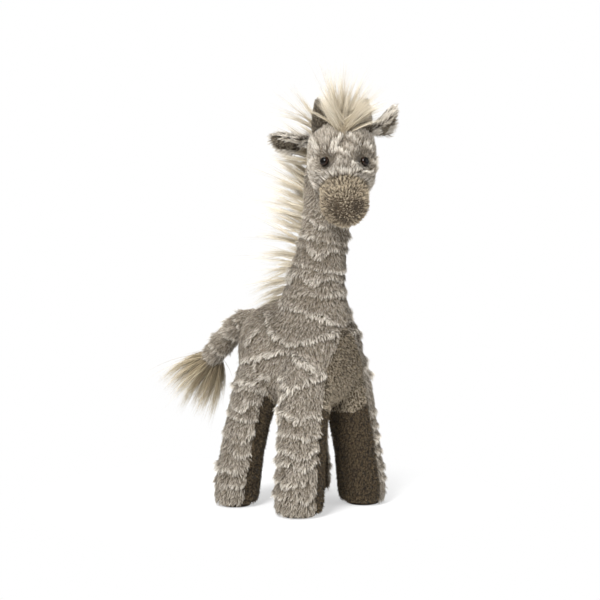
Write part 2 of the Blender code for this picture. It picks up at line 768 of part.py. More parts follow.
def build_body(root, looks):
    """Torso, legs, soles and neck, with the one filling that runs through them."""
    torso = torso_form("body_skin", 0, root, looks["long_pile"])
    lining = helper(torso_form("torso_lining", -FABRIC, root, looks["long_pile"]))
    torso_cut = helper(torso_form("torso_cut", GAP, root, looks["long_pile"]))
    gusset = torso_form("belly_gusset", 0, root, looks["short_pile"])
    filling = torso_form("body_filling", -FABRIC - GAP, root, looks["fibre"])
    gusset_space = gusset_box("gusset_space", GAP / 2, root, looks["short_pile"])
    gusset_reach = gusset_box("gusset_reach", -GAP / 2, root, looks["short_pile"])
    for panel in (torso, gusset):
        boolean(panel, lining, "DIFFERENCE")
    boolean(torso, gusset_space, "DIFFERENCE")
    boolean(gusset, gusset_reach, "INTERSECT")
    for end_name, end in ENDS:
        for side_name, side in SIDES:
            place = f"{end_name}_{side_name}"
            throat = helper(leg_form(f"throat_{place}", side, end, -FABRIC, root, looks["fibre"]))
            for panel in (torso, gusset):
                boolean(panel, throat, "DIFFERENCE")
            stuffing = helper(leg_form(f"stuffing_{place}", side, end, -FABRIC - GAP, root, looks["fibre"]))
            boolean(filling, stuffing, "UNION")
            outer = leg_panel(f"leg_{place}_outer", side, end, True, root, looks["long_pile"])
            inner = leg_panel(f"leg_{place}_inner", side, end, False, root, looks["short_pile"])
            for panel in (outer, inner):
                boolean(panel, torso_cut, "DIFFERENCE")
            sole(f"sole_{place}", side, end, root, looks["short_pile"])
    outer = [neck_ring(s, 0) for s in NECK_HEIGHT_SHARES]
    inner = [neck_ring(s, -FABRIC) for s in NECK_HEIGHT_SHARES]
    neck = add("neck_skin", *sleeve(outer, inner), root, looks["long_pile"])
    boolean(neck, torso_cut, "DIFFERENCE")
    throat = helper(add("throat_neck", *loft(inner), root, looks["fibre"]))
    boolean(torso, throat, "DIFFERENCE")
    stuffing = [neck_ring(s, -FABRIC - GAP) for s in NECK_HEIGHT_SHARES]
    stuffing_neck = helper(add("stuffing_neck", *loft(stuffing), root, looks["fibre"]))
    boolean(filling, stuffing_neck, "UNION")
    neck_cut = helper(add("neck_cut", *loft([neck_ring(s, GAP) for s in NECK_HEIGHT_SHARES]), root,
                          looks["fibre"]))
    hair = mane(root, looks["mane_hair"], neck_cut)
    boolean(hair, torso_cut, "DIFFERENCE")


def gusset_box(name, grow, parent, look):
    """The stretch of the torso that the gusset covers: chest, belly and under the tail."""
    wide = GUSSET_WIDTH / 2 + grow
    tip = GUSSET_TIP_WIDTH / 2 + grow
    deep = TORSO_LENGTH / 2 + OVERRUN
    low = TORSO_CENTRE_HEIGHT - TORSO_HEIGHT / 2 - OVERRUN
    high = GUSSET_TOP + grow
    outline = (
        (-wide, low), (wide, low), (wide, GUSSET_SHOULDER), (tip, high), (-tip, high), (-wide, GUSSET_SHOULDER),
    )
    rings = [[Vector((x, y * deep, z)) for x, z in outline] for y in (-1, 1)]
    return helper(add(name, *loft(rings), parent, look))


def build_head(root, looks):
    """Everything that turns with the head."""
    axis = empty("head_turn_axis", root, Matrix.Translation((0, -NECK_TOP_FORWARD, NECK_TOP)))
    centre = Vector((HEAD_ASIDE, -HEAD_FORWARD, HEAD_HEIGHT))
    place = Matrix.Translation(centre - Vector((0, -NECK_TOP_FORWARD, NECK_TOP)))
    head = empty("head_centre", axis, place @ Matrix.Rotation(math.radians(-HEAD_TURN_DEG), 4, "Z"))
    form = helper(head_form("head_form", 0, head, looks["fibre"]))
    head_cut = helper(head_form("head_cut", GAP, head, looks["fibre"]))
    neck_space = neck_clearance_form(root, looks["fibre"])

    back, front = head_profile(), muzzle_profile()
    whole = moved_profile(back + front, -FABRIC)
    back_lining, front_lining = whole[:len(back)], whole[len(back):]
    edge = (front[0][0] - GAP, front[0][1])
    edge_lining = (front_lining[0][0] - GAP, front_lining[0][1])
    skin = add("head_skin", *cup(head_rings(back + [edge]), head_rings(back_lining + [edge_lining])),
               head, looks["long_pile"])
    boolean(skin, neck_space, "DIFFERENCE")
    muzzle = add("muzzle_skin", *cup(head_rings(front[::-1]), head_rings(front_lining[::-1])),
                 head, looks["muzzle_pile"])
    filling = head_form("head_filling", -FABRIC - GAP, head, looks["fibre"])
    for piece in (muzzle, filling):
        boolean(piece, neck_space, "DIFFERENCE")
    build_eyes(head, form, skin, filling, looks)
    build_nostrils(head, form, muzzle, looks)
    build_horns(head, form, head_cut, looks)
    build_ears(head, form, looks)
    forelock(head, looks["mane_hair"], form, head_cut)
    nape_mane(head, looks["mane_hair"], form, head_cut, neck_space)


def build_eyes(head, form, skin, filling, looks):
    for side_name, side in SIDES:
        place, normal = seat_on(form, Vector((0, 0, 0)), aim(side, EYE_SPREAD_DEG, -EYE_DROP_DEG))
        frame = frame_at(place, normal, Vector((0, 0, 1)))
        add(f"eye_{side_name}", *loft(turned(eye_profile(0), EYE_SIDES)), head, looks["eye_plastic"], frame)
        hole = shank_hole(f"eye_hole_{side_name}", GAP, head, looks["fibre"], frame)
        washer = washer_form(f"eye_washer_{side_name}", 0, head, looks["washer_plastic"], frame)
        space = helper(washer_form(f"washer_space_{side_name}", GAP, head, looks["fibre"], frame))
        boolean(skin, hole, "DIFFERENCE")
        boolean(skin, space, "DIFFERENCE")
        boolean(washer, hole, "DIFFERENCE")
        boolean(filling, hole, "DIFFERENCE")
        boolean(filling, space, "DIFFERENCE")


def build_nostrils(head, form, muzzle, looks):
    tip = Matrix.Rotation(math.radians(90 + HEAD_PITCH_DEG), 3, "X") @ Vector((0, 0, MUZZLE_REACH))
    for side_name, side in SIDES:
        way = aim(side, NOSTRIL_SPREAD_DEG, NOSTRIL_RISE_DEG - HEAD_PITCH_DEG)
        place, normal = seat_on(form, tip, way)
        deep = place + normal * (NOSTRIL_RADIUS - NOSTRIL_DEPTH)
        profile = []
        for i in range(NOSTRIL_RINGS + 1):
            turn = math.radians(between(-NOSTRIL_ARC_DEG, NOSTRIL_ARC_DEG, i / NOSTRIL_RINGS))
            profile.append((NOSTRIL_RADIUS * math.sin(turn), NOSTRIL_RADIUS * math.cos(turn)))
        dent = helper(add(f"nostril_{side_name}", *loft(turned(profile, NOSTRIL_SIDES)), head, looks["fibre"],
                          frame_at(deep, normal, Vector((1, 0, 0)))))
        boolean(muzzle, dent, "DIFFERENCE")


def build_horns(head, form, head_cut, looks):
    for side_name, side in SIDES:
        place, normal = seat_on(form, Vector((0, 0, 0)), aim(side, HORN_SPREAD_DEG, HORN_RISE_DEG))
        lean = math.radians(HORN_LEAN_DEG)
        up = Vector((side * math.sin(lean), 0, math.cos(lean)))
        frame = frame_at(place - up * HORN_SINK, up, Vector((1, 0, 0)))
        profile = [
            (HORN_LENGTH * s, HORN_RADIUS * r) for s, r in zip(HORN_LENGTH_SHARES, HORN_RADIUS_SHARES)
        ]
        horn = add(f"horn_{side_name}", *loft(turned(profile, HORN_SIDES)), head, looks["horn_pile"], frame)
        boolean(horn, head_cut, "DIFFERENCE")
        wider = [(z + (GAP if z else 0), r + 2 * GAP) for z, r in profile]
        helper(add(f"horn_space_{side_name}", *loft(turned(wider, HORN_SIDES)), head, looks["fibre"], frame))


def build_ears(head, form, looks):
    rises = {"left": EAR_LEFT_RISE_DEG, "right": EAR_RIGHT_RISE_DEG}
    seats = {"left": EAR_LEFT_SEAT_DEG, "right": EAR_RIGHT_SEAT_DEG}
    for side_name, side in SIDES:
        seat, rise, back = (math.radians(v) for v in (seats[side_name], rises[side_name], EAR_BACK_DEG))
        way = Vector((side * math.cos(seat), math.sin(back), math.sin(seat)))
        place, normal = seat_on(form, Vector((0, 0, 0)), way)
        pivot = place + normal * (EAR_ROOT_RADIUS + GAP)
        out = Vector((side * math.cos(rise), math.sin(back), math.sin(rise)))
        tip = math.radians(EAR_TIP_DEG)
        lining_side = Vector((0, -math.cos(tip), -math.sin(tip)))
        seam = (lining_side - normal * lining_side.dot(normal)).cross(normal).normalized()
        face = out.cross(seam)
        root = empty(f"ear_{side_name}_root", head, frame_at(pivot, face, seam.cross(face)))
        ear_panel(f"ear_{side_name}", root, looks["long_pile"])
        ear_lining(f"ear_{side_name}_lining", root, looks["short_pile"])


def build_tail(root, looks):
    form = bpy.data.objects["torso_cut"]
    start = Vector((0, -TORSO_CENTRE_FORWARD, TAIL_ROOT_HEIGHT))
    place, normal = seat_on(form, start, Vector((0, 1, 0)))
    pivot = place + normal * TAIL_ROOT_RADIUS
    drop = math.radians(TAIL_DROP_DEG)
    way = Vector((0, math.cos(drop), -math.sin(drop)))
    tail = empty("tail_root", root, frame_at(pivot, way, Vector((1, 0, 0))))
    skin_rings, lining_rings = (turned(tail_profile(g), TAIL_SIDES) for g in (0, -FABRIC))
    lining_rings[-1] = [Vector((v.x, v.y, TAIL_LENGTH)) for v in lining_rings[-1]]
    add("tail_skin", *cup(skin_rings, lining_rings), tail, looks["long_pile"])
    add("tail_filling", *loft(turned(tail_profile(-FABRIC - GAP), TAIL_SIDES)), tail, looks["fibre"])
    tail_tuft(tail, looks["tuft_hair"])


def centre_on_floor(root):
    """Moves the whole toy so that the middle of its box's base is the origin."""
    bpy.context.view_layer.update()
    graph = bpy.context.evaluated_depsgraph_get()
    low, high = [math.inf] * 2, [-math.inf] * 2
    for obj in bpy.context.scene.objects:
        if obj.type != "MESH" or obj.hide_render:
            continue
        evaluated = obj.evaluated_get(graph)
        for vertex in evaluated.data.vertices:
            world = evaluated.matrix_world @ vertex.co
            for i in range(2):
                low[i] = min(low[i], world[i])
                high[i] = max(high[i], world[i])
    root.location = (-(low[0] + high[0]) / 2, -(low[1] + high[1]) / 2, 0)
    bpy.context.view_layer.update()


def report_places():
    """Prints the world place and axes of each joint's empty and each sole's centre."""
    for name in ("head_turn_axis", "head_centre", "ear_left_root", "ear_right_root", "tail_root"):
        world = bpy.data.objects[name].matrix_world
        axes = [[round(v, 5) for v in world.to_3x3().col[i]] for i in range(3)]
        print(name, [round(v, 5) for v in world.translation], "x y z", axes)
    root = bpy.data.objects["giraffe"].matrix_world.translation
    for end_name, end in ENDS:
        for side_name, side in SIDES:
            across, along, radius = leg_station(side, end, 0)
            place = (round(across + root.x, 5), round(along + root.y, 5))
            print("sole", end_name, side_name, place, round(radius, 5))


def main():
    clear_scene()
    looks = {
        "long_pile": material("long_pile", (0.42, 0.38, 0.33), 0.95),
        "short_pile": material("short_pile", (0.13, 0.11, 0.085), 0.95),
        "muzzle_pile": material("muzzle_pile", (0.26, 0.21, 0.155), 0.95),
        "horn_pile": material("horn_pile", (0.16, 0.135, 0.105), 0.95),
        "mane_hair": material("mane_hair", (0.66, 0.58, 0.44), 0.8),
        "tuft_hair": material("tuft_hair", (0.48, 0.40, 0.28), 0.8),
        "fibre": material("fibre", (0.85, 0.85, 0.83), 1.0),
        "eye_plastic": material("eye_plastic", (0.012, 0.008, 0.006), 0.08),
        "washer_plastic": material("washer_plastic", (0.75, 0.75, 0.72), 0.5),
    }
    root = empty("giraffe")
    build_body(root, looks)
    build_head(root, looks)
    build_tail(root, looks)
    centre_on_floor(root)
    report_places()


main()
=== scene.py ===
"""The looks of the standing plush giraffe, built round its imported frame, in metres, +Z up.

It faces -Y, and its left side is +X. Each fabric panel of the frame is replaced by a smooth skin with
a pile of real strands on it, and each hair solid by loose locks of strands.
"""
import json
import math

import bpy
import numpy as np
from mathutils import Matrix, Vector
from mathutils.bvhtree import BVHTree
from mathutils.kdtree import KDTree


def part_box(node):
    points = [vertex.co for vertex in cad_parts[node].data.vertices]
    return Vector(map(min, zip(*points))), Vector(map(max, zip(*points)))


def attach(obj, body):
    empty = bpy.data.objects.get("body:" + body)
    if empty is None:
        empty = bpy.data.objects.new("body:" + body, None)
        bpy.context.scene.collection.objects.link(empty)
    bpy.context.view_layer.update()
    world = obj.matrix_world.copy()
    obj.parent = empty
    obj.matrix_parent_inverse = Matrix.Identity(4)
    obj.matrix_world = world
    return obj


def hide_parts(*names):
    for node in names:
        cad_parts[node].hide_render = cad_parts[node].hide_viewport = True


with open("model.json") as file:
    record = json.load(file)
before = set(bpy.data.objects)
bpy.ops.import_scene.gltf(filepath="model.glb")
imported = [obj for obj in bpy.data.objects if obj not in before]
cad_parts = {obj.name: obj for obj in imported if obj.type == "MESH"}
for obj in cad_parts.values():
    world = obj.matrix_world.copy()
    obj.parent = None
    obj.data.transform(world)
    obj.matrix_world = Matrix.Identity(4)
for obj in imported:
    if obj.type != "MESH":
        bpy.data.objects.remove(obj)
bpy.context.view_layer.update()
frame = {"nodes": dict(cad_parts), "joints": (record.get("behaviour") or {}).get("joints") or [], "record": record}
NODES = frame["nodes"]
JOINTS = {joint["name"]: joint for joint in frame["joints"]}
BODIES = {node: body for body, nodes in frame["record"]["behaviour"]["bodies"].items() for node in nodes}
rng = np.random.default_rng(17)

# Camera
CAMERA_TURN_DEG = -45
CAMERA_DISTANCE = 1.5
CAMERA_HEIGHT = 0.30
CAMERA_AIM_HEIGHT = 0.2055
CAMERA_LENS = 90
CAMERA_SENSOR = 36
# The toy stands a little right of the picture's middle
CAMERA_SHIFT = -0.00333

# Forms: size of the remesh cells, then how far the cloth lies inside the solid under long and short pile
BODY_VOXEL = 0.0017
HEAD_VOXEL = 0.0016
TAIL_VOXEL = 0.0014
EAR_VOXEL = 0.0009
LINING_VOXEL = 0.0007
HORN_VOXEL = 0.0009
SOLE_VOXEL = 0.0008
SEAT_VOXEL = 0.0025
LONG_INSET = 0.0018
SHORT_INSET = 0.0002
HEAD_INSETS = (0.0010, 0.0014)
SKIN_THICKNESS = 0.0009
STUFFING_GAP = 0.0004

SIDES = ("left", "right")
LEG_NAMES = [f"{end}_{side}" for end in ("front", "rear") for side in SIDES]
BODY_PANELS = ["body_skin", "belly_gusset", "neck_skin"]
BODY_PANELS += [f"leg_{leg}_{half}" for leg in LEG_NAMES for half in ("outer", "inner")]
SHORT_PANELS = {"belly_gusset"} | {f"leg_{leg}_inner" for leg in LEG_NAMES}
HEAD_NODES = ["head_skin", "muzzle_skin", "head_filling"]
UP = np.array([0, 0, 1.0])
MM = 0.001


def srgb(code):
    """A linear colour from a six-digit hex code."""
    parts = [int(code[i:i + 2], 16) / 255 for i in (0, 2, 4)]
    return tuple(p / 12.92 if p <= 0.04045 else ((p + 0.055) / 1.055) ** 2.4 for p in parts)


# Arrays

def unit(v):
    return v / np.maximum(np.linalg.norm(v, axis=-1, keepdims=True), 1e-12)


def lengths(v):
    return np.linalg.norm(v, axis=1)


def limit(x):
    """Values held between 0 and 1."""
    return np.clip(x, 0, 1)


def across(v, n):
    """The part of v that lies square to n."""
    return v - n * (v * n).sum(-1, keepdims=True)


def swing(a, b, angles):
    """The ways a, turned towards the ways b by an array of angles."""
    return a * np.cos(angles) + b * np.sin(angles)


def turned(a, b, angle):
    """The same for one angle."""
    return a * math.cos(angle) + b * math.sin(angle)


def bell(distance, width):
    """One at no distance, which fades to nothing past about twice the width."""
    return np.exp(-(distance / width) ** 2)


def bow(start, middle, end, t):
    """Points of curved paths, at the shares t of their length."""
    return (1 - t) ** 2 * start[:, None] + 2 * t * (1 - t) * middle[:, None] + t ** 2 * end[:, None]


def waves(points, size, seed, count=6):
    """Smooth noise from -1 to 1, whose features are about size across."""
    own = np.random.default_rng(seed)
    total = np.zeros(len(points))
    for _ in range(count):
        way = own.normal(size=3)
        way *= 2 * math.pi / size / np.linalg.norm(way) * own.uniform(0.6, 1.5)
        total += np.sin(points @ way + own.uniform(0, 2 * math.pi))
    return total / count * 1.6


def mesh_arrays(mesh):
    """Points and triangles of a mesh."""
    points = np.empty(len(mesh.vertices) * 3)
    mesh.vertices.foreach_get("co", points)
    mesh.calc_loop_triangles()
    faces = np.empty(len(mesh.loop_triangles) * 3, np.int32)
    mesh.loop_triangles.foreach_get("vertices", faces)
    return points.reshape(-1, 3), faces.reshape(-1, 3)


def node_arrays(names):
    """Points and triangles of several nodes together, and the index of each triangle's node."""
    points, faces, owner, start = [], [], [], 0
    for i, name in enumerate(names):
        p, f = mesh_arrays(NODES[name].data)
        points.append(p)
        faces.append(f + start)
        owner += [i] * len(f)
        start += len(p)
    return np.concatenate(points), np.concatenate(faces), owner


def new_mesh(name, points, faces):
    mesh = bpy.data.meshes.new(name)
    mesh.from_pydata(points.tolist(), [], faces.tolist())
    return mesh


def linked(name, data):
    """A new object in the scene."""
    obj = bpy.data.objects.new(name, data)
    bpy.context.scene.collection.objects.link(obj)
    return obj


def surface_tree(points, faces):
    return BVHTree.FromPolygons(points.tolist(), faces.tolist())


def remeshed(names, voxel, smooth):
    """One smooth closed form round several nodes, as points and triangles."""
    obj = linked("form", new_mesh("form", *node_arrays(names)[:2]))
    modifier = obj.modifiers.new("Remesh", "REMESH")
    modifier.mode = "VOXEL"
    modifier.voxel_size = voxel
    modifier = obj.modifiers.new("Smooth", "SMOOTH")
    modifier.iterations = smooth
    modifier.factor = 0.5
    evaluated = obj.evaluated_get(bpy.context.evaluated_depsgraph_get())
    points, faces = mesh_arrays(evaluated.to_mesh())
    evaluated.to_mesh_clear()
    bpy.data.objects.remove(obj, do_unlink=True)
    return largest_part(points, faces)


def largest_part(points, faces):
    """The connected part with the most points, which leaves out any hollow inside."""
    label = np.arange(len(points))
    while True:
        low = label[faces].min(1)
        new = label.copy()
        np.minimum.at(new, faces.ravel(), np.repeat(low, 3))
        new = new[new]
        if (new == label).all():
            break
        label = new
    keep = label == np.bincount(label).argmax()
    index = np.cumsum(keep) - 1
    return points[keep], index[faces[keep[faces[:, 0]]]]


def normals_of(points, faces):
    a, b, c = (points[faces[:, i]] for i in range(3))
    face = np.cross(b - a, c - a)
    total = np.zeros_like(points)
    for i in range(3):
        np.add.at(total, faces[:, i], face)
    return unit(total)


def spread(values, faces, rounds):
    """Values at points, averaged with their neighbours a number of times."""
    for _ in range(rounds):
        total, count = values.copy(), np.ones(len(values))
        for i in range(3):
            for j in range(3):
                if i != j:
                    np.add.at(total, faces[:, i], values[faces[:, j]])
                    np.add.at(count, faces[:, i], 1)
        values = total / count
    return values


def owners(points, faces, names):
    """For each triangle, the index of the nearest of several nodes."""
    all_points, all_faces, owner = node_arrays(names)
    tree = surface_tree(all_points, all_faces)
    return np.array([owner[tree.find_nearest(Vector(c))[2]] for c in points[faces].mean(1)])


# Materials

# Where a colour Mix node keeps its factor, two colours and result
MIX_FACTOR, MIX_A, MIX_B, MIX_RESULT = 0, 6, 7, 2
SHORT_SHEEN = 0.08
HAIR_ROUGHNESS = 0.7


def new_node(tree, kind, **settings):
    made = tree.nodes.new("ShaderNode" + kind)
    for key, value in settings.items():
        setattr(made, key, value)
    return made


def join(source, output, target, socket):
    source.id_data.links.new(source.outputs[output], target.inputs[socket])


def tune(target, values):
    """Sets unlinked inputs of a node by their names."""
    for key, value in values.items():
        target.inputs[key].default_value = value


def ramp(source, output, stops):
    """A colour ramp through (position, hex code) stops, driven by another node's output."""
    made = new_node(source.id_data, "ValToRGB")
    elements = made.color_ramp.elements
    while len(elements) < len(stops):
        elements.new(0.5)
    for element, (position, code) in zip(elements, stops):
        element.position = position
        element.color = (*srgb(code), 1)
    join(source, output, made, "Fac")
    return made


def shaded(name, roughness, specular, sheen=0.0):
    """A new material, with its node tree and shader."""
    made = bpy.data.materials.new(name)
    made.use_nodes = True
    shader = made.node_tree.nodes["Principled BSDF"]
    tune(shader, {"Roughness": roughness, "Specular IOR Level": specular, "Sheen Weight": sheen})
    return made, made.node_tree, shader


def own_map(tree):
    """A mesh's own map, as the outputs X and Y of a node."""
    uv = new_node(tree, "UVMap", uv_map="OFBake")
    split = new_node(tree, "SeparateXYZ")
    join(uv, "UV", split, "Vector")
    return split


def pile_material(name, plain, raised, roughness=0.95, sheen=0.15):
    """Strand colour by the strand's own map: across it from plain to raised tone, along it from root to tip."""
    made, tree, shader = shaded(name, roughness, 0.25, sheen)
    tune(shader, {"Sheen Roughness": 0.6})
    split = own_map(tree)
    mix = new_node(tree, "Mix", data_type="RGBA")
    join(split, "X", mix, MIX_FACTOR)
    join(ramp(split, "Y", plain), "Color", mix, MIX_A)
    join(ramp(split, "Y", raised), "Color", mix, MIX_B)
    join(mix, MIX_RESULT, shader, "Base Color")
    return made


def cloth_material(name, dark, pale, size, bump):
    """Knitted backing or fibre: two colours of fine noise with bump."""
    made, tree, shader = shaded(name, 0.95, 0.2, 0.2)
    where = new_node(tree, "TexCoord")
    noise = new_node(tree, "TexNoise")
    tune(noise, {"Scale": 1 / size, "Detail": 4})
    join(where, "Object", noise, "Vector")
    join(ramp(noise, "Fac", ((0.3, dark), (0.7, pale))), "Color", shader, "Base Color")
    relief = new_node(tree, "Bump")
    tune(relief, {"Strength": 0.6, "Distance": bump})
    join(noise, "Fac", relief, "Height")
    join(relief, "Normal", shader, "Normal")
    return made


def eye_material():
    """Black pupil in a brown iris under a clear gloss, by the distance from the bead's own axis."""
    made, tree, shader = shaded("eye_plastic", 0.05, 0.16)
    iris = ramp(own_map(tree), "Y", ((0.0, "080605"), (0.70, "0a0705"), (0.78, "1f120a"),
                                     (0.88, "26170c"), (0.95, "0f0a06"), (1.0, "080504")))
    join(iris, "Color", shader, "Base Color")
    return made


def even(*codes):
    """Stops at equal steps."""
    return [(i / (len(codes) - 1), code) for i, code in enumerate(codes)]


# The plain and raised tones of each pile and hair, from root to tip
LOOKS = {
    "eye": eye_material(),
    "coat": pile_material("coat_pile",
                          ((0.0, "150f09"), (0.35, "4f4436"), (0.75, "877b6a"), (1.0, "b0a695")),
                          ((0.0, "7a6f60"), (0.3, "bfb5a5"), (0.7, "e8e1d5"), (1.0, "faf6ee"))),
    "dark": pile_material("dark_pile", even("080603", "17120b", "2c241a"), even("221910", "4a3d2b", "7c6c53"),
                          sheen=SHORT_SHEEN),
    "chest": pile_material("chest_pile", even("352c21", "746856", "998c78"), even("574b3a", "9d907b", "c9bda8"),
                           sheen=SHORT_SHEEN),
    "muzzle": pile_material("muzzle_pile", even("20180f", "65584a", "998a73"), even("5d5040", "b5a68c", "dccfb7"),
                            sheen=SHORT_SHEEN),
    "horn": pile_material("horn_pile", even("221c13", "4a4032", "6f6352"), even("554b3d", "9f927e", "cfc4b1"),
                          sheen=SHORT_SHEEN),
    "mane": pile_material("mane_hair",
                          ((0.0, "877860"), (0.25, "a6987f"), (0.7, "bdb19a"), (1.0, "cac0ac")),
                          ((0.0, "ab9c80"), (0.25, "ccc1ab"), (0.7, "e1d9c8"), (1.0, "e9e2d5")), HAIR_ROUGHNESS),
    "tuft": pile_material("tuft_hair",
                          ((0.0, "4e4230"), (0.4, "7d6e54"), (0.8, "998b70"), (1.0, "ada089")),
                          ((0.0, "8f7f62"), (0.4, "c6b799"), (0.8, "dfd4bd"), (1.0, "e6dece")), HAIR_ROUGHNESS),
    "coat_backing": cloth_material("coat_backing", "4d4539", "665c4f", 0.0006, 0.0002),
    "dark_backing": cloth_material("dark_backing", "292219", "3a3226", 0.0006, 0.0002),
    "muzzle_backing": cloth_material("muzzle_backing", "352c21", "4c4133", 0.0006, 0.0002),
    "stuffing": cloth_material("stuffing_fibre", "d6d4ce", "efeee9", 0.003, 0.001),
}


# Pieces

MOST_FACES = 190000
FLOOR_GAP = 0.0004
# How a strand narrows towards its tip, and half the width of its place in its own map
TAPER = 1.6
MAP_HALF = 0.003
# How much steeper than its lift a strand leaves the fabric, and how much flatter it ends, in radians
LIFT_CHANGES = (0.45, -0.10)


def placed(name, mesh, look, node):
    """A mesh as a piece of the toy, with a material, on the body of the node that it dresses."""
    obj = linked(name, mesh)
    mesh.materials.append(LOOKS[look])
    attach(obj, BODIES[node])
    return obj


def piece(name, points, faces, look, node):
    mesh = new_mesh(name, points, faces)
    mesh.shade_smooth()
    return placed(name, mesh, look, node)


def soft_piece(node, points, faces, look, fill, name=None):
    """A form as a piece in the place of a node, whose own solid is hidden."""
    made = piece(name or f"{node}_cloth", points, faces, look, node)
    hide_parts(node)


def shell(points, inner, faces):
    """A thin closed wall between two copies of an open surface."""
    used = np.unique(faces)
    index = np.full(len(points), -1)
    index[used] = np.arange(len(used))
    faces = index[faces]
    count = len(used)
    edges = np.concatenate([faces[:, [0, 1]], faces[:, [1, 2]], faces[:, [2, 0]]])
    key = np.sort(edges, axis=1)
    _, inverse, times = np.unique(key, axis=0, return_inverse=True, return_counts=True)
    rim = edges[times[inverse.reshape(-1)] == 1]
    wall = np.concatenate([
        np.stack([rim[:, 1], rim[:, 0], rim[:, 0] + count], 1),
        np.stack([rim[:, 1], rim[:, 0] + count, rim[:, 1] + count], 1),
    ])
    joined = np.concatenate([faces, faces[:, ::-1] + count, wall])
    return np.concatenate([points[used], inner[used]]), joined


def scatter(points, normals, faces, density, base=None):
    """Random roots on a surface, density per square millimetre: places, normals and the same places on base."""
    a, b, c = (points[faces[:, i]] for i in range(3))
    area = lengths(np.cross(b - a, c - a)) / 2
    count = int(area.sum() * 1e6 * density)
    chosen = rng.choice(len(faces), count, p=area / area.sum())
    u, v = rng.random(count), rng.random(count)
    past = u + v > 1
    u[past], v[past] = 1 - u[past], 1 - v[past]
    weights = np.stack([1 - u - v, u, v], 1)[:, :, None]
    base = points if base is None else base
    place, out, below = ((values[faces[chosen]] * weights).sum(1) for values in (points, normals, base))
    return place, unit(out), below


def clumps(roots, each):
    """A few chosen strands, and for each strand the index of the nearest of them."""
    count = max(1, len(roots) // each)
    centres = rng.choice(len(roots), count, replace=False)
    tree = KDTree(count)
    for i, j in enumerate(centres):
        tree.insert(roots[j], i)
    tree.balance()
    return centres, np.array([tree.find(r)[1] for r in roots])


def ribbons(paths, sides, widths, tones):
    """Tapered ribbons along paths (strands, steps, 3). Returns points, faces as loops and the strand map."""
    count, steps, _ = paths.shape
    along = np.linspace(0, 1, steps)
    half = sides[:, None, :] * widths[:, None, None] / 2 * (1 - along ** TAPER)[None, :-1, None]
    left, right = paths[:, :-1] - half, paths[:, :-1] + half
    body = np.stack([left, right], 2).reshape(count, -1, 3)
    points = np.concatenate([body, paths[:, -1:]], 1).reshape(-1, 3)
    first = np.arange(count)[:, None] * (2 * (steps - 1) + 1)
    low = np.clip(tones, 0.004, 0.996)[:, None]
    loops, sizes, maps = [], [], []
    for k in range(steps - 1):
        at_tip = k == steps - 2
        corners, aside = ((0, 1, 2), (-1, 1, 0)) if at_tip else ((0, 1, 3, 2), (-1, 1, 1, -1))
        loops.append(first + 2 * k + np.array(corners))
        sizes.append(len(corners))
        u = low + MAP_HALF * np.array(aside)
        v = np.broadcast_to([along[k]] * 2 + [along[k + 1]] * (len(corners) - 2), u.shape)
        maps.append(np.stack([u, v], 2))
    return points, np.concatenate(loops, 1).ravel(), np.tile(sizes, count), np.concatenate(maps, 1).reshape(-1, 2)


def strand_piece(name, strands, look, node):
    """Paths, sides, widths and tones of strands as one piece, or as several that have few enough faces each."""
    paths = strands[0]
    most = MOST_FACES // (2 * paths.shape[1] - 3)
    parts = -(-len(paths) // most)
    if parts == 1:
        return [strand_mesh(name, *strands, look, node)]
    order = np.array_split(np.argsort(paths[:, 0, 0]), parts)
    return [strand_mesh(f"{name}_{i + 1}", *(values[own] for values in strands), look, node)
            for i, own in enumerate(order)]


def strand_mesh(name, paths, sides, widths, tones, look, node):
    paths[..., 2] = np.maximum(paths[..., 2], FLOOR_GAP)
    points, loops, sizes, maps = ribbons(paths, sides, widths, tones)
    points[:, 2] = np.maximum(points[:, 2], FLOOR_GAP)
    mesh = bpy.data.meshes.new(name)
    mesh.vertices.add(len(points))
    mesh.vertices.foreach_set("co", points.ravel())
    mesh.loops.add(len(loops))
    mesh.loops.foreach_set("vertex_index", loops)
    mesh.polygons.add(len(sizes))
    mesh.polygons.foreach_set("loop_start", np.concatenate([[0], np.cumsum(sizes)[:-1]]))
    mesh.update(calc_edges=True)
    layer = mesh.uv_layers.new(name="OFBake")
    layer.data.foreach_set("uv", limit(maps).ravel())
    mesh.shade_smooth()
    mesh.validate()
    return placed(name, mesh, look, node)


def pile(node, roots, normals, flow, length, lift_deg, width, tones, look, each, share, mottle, steps=4,
         ruffle=0.22, unrest=7, name=None):
    """A pile of strands in small clumps, which leave the fabric at lift_deg and lie down along flow."""
    count = len(roots)
    centres, near = clumps(roots, each)

    def own(size):
        return rng.normal(0, size, len(centres))[near]

    flow = unit(across(flow, normals))
    turn = (own(ruffle) + rng.normal(0, ruffle * 0.5, count))[:, None]
    flow = swing(flow, np.cross(normals, flow), turn)
    lift = np.radians(np.clip(lift_deg + own(unrest), 3, 80))[:, None]
    length = np.reshape(length * (1 + own(0.12)), (-1, 1)) * rng.uniform(0.78, 1.12, (count, 1))
    rise, lean = (unit(swing(flow, normals, lift + change)) for change in LIFT_CHANGES)
    tips = roots + lean * length
    tips += (tips[centres[near]] - tips) * np.reshape(np.broadcast_to(share, count), (-1, 1))
    middle = roots + rise * length / 2
    paths = bow(roots, middle, tips, np.linspace(0, 1, steps)[None, :, None])
    axis = unit(tips - roots)
    side = unit(np.cross(axis, normals))
    side = unit(swing(side, np.cross(side, axis), rng.uniform(-0.7, 0.7, (count, 1))))
    widths = width * rng.uniform(0.7, 1.3, count)
    tones = limit(tones + own(mottle))
    strand_piece(name or f"{node}_pile", (paths, side, widths, tones), look, node)


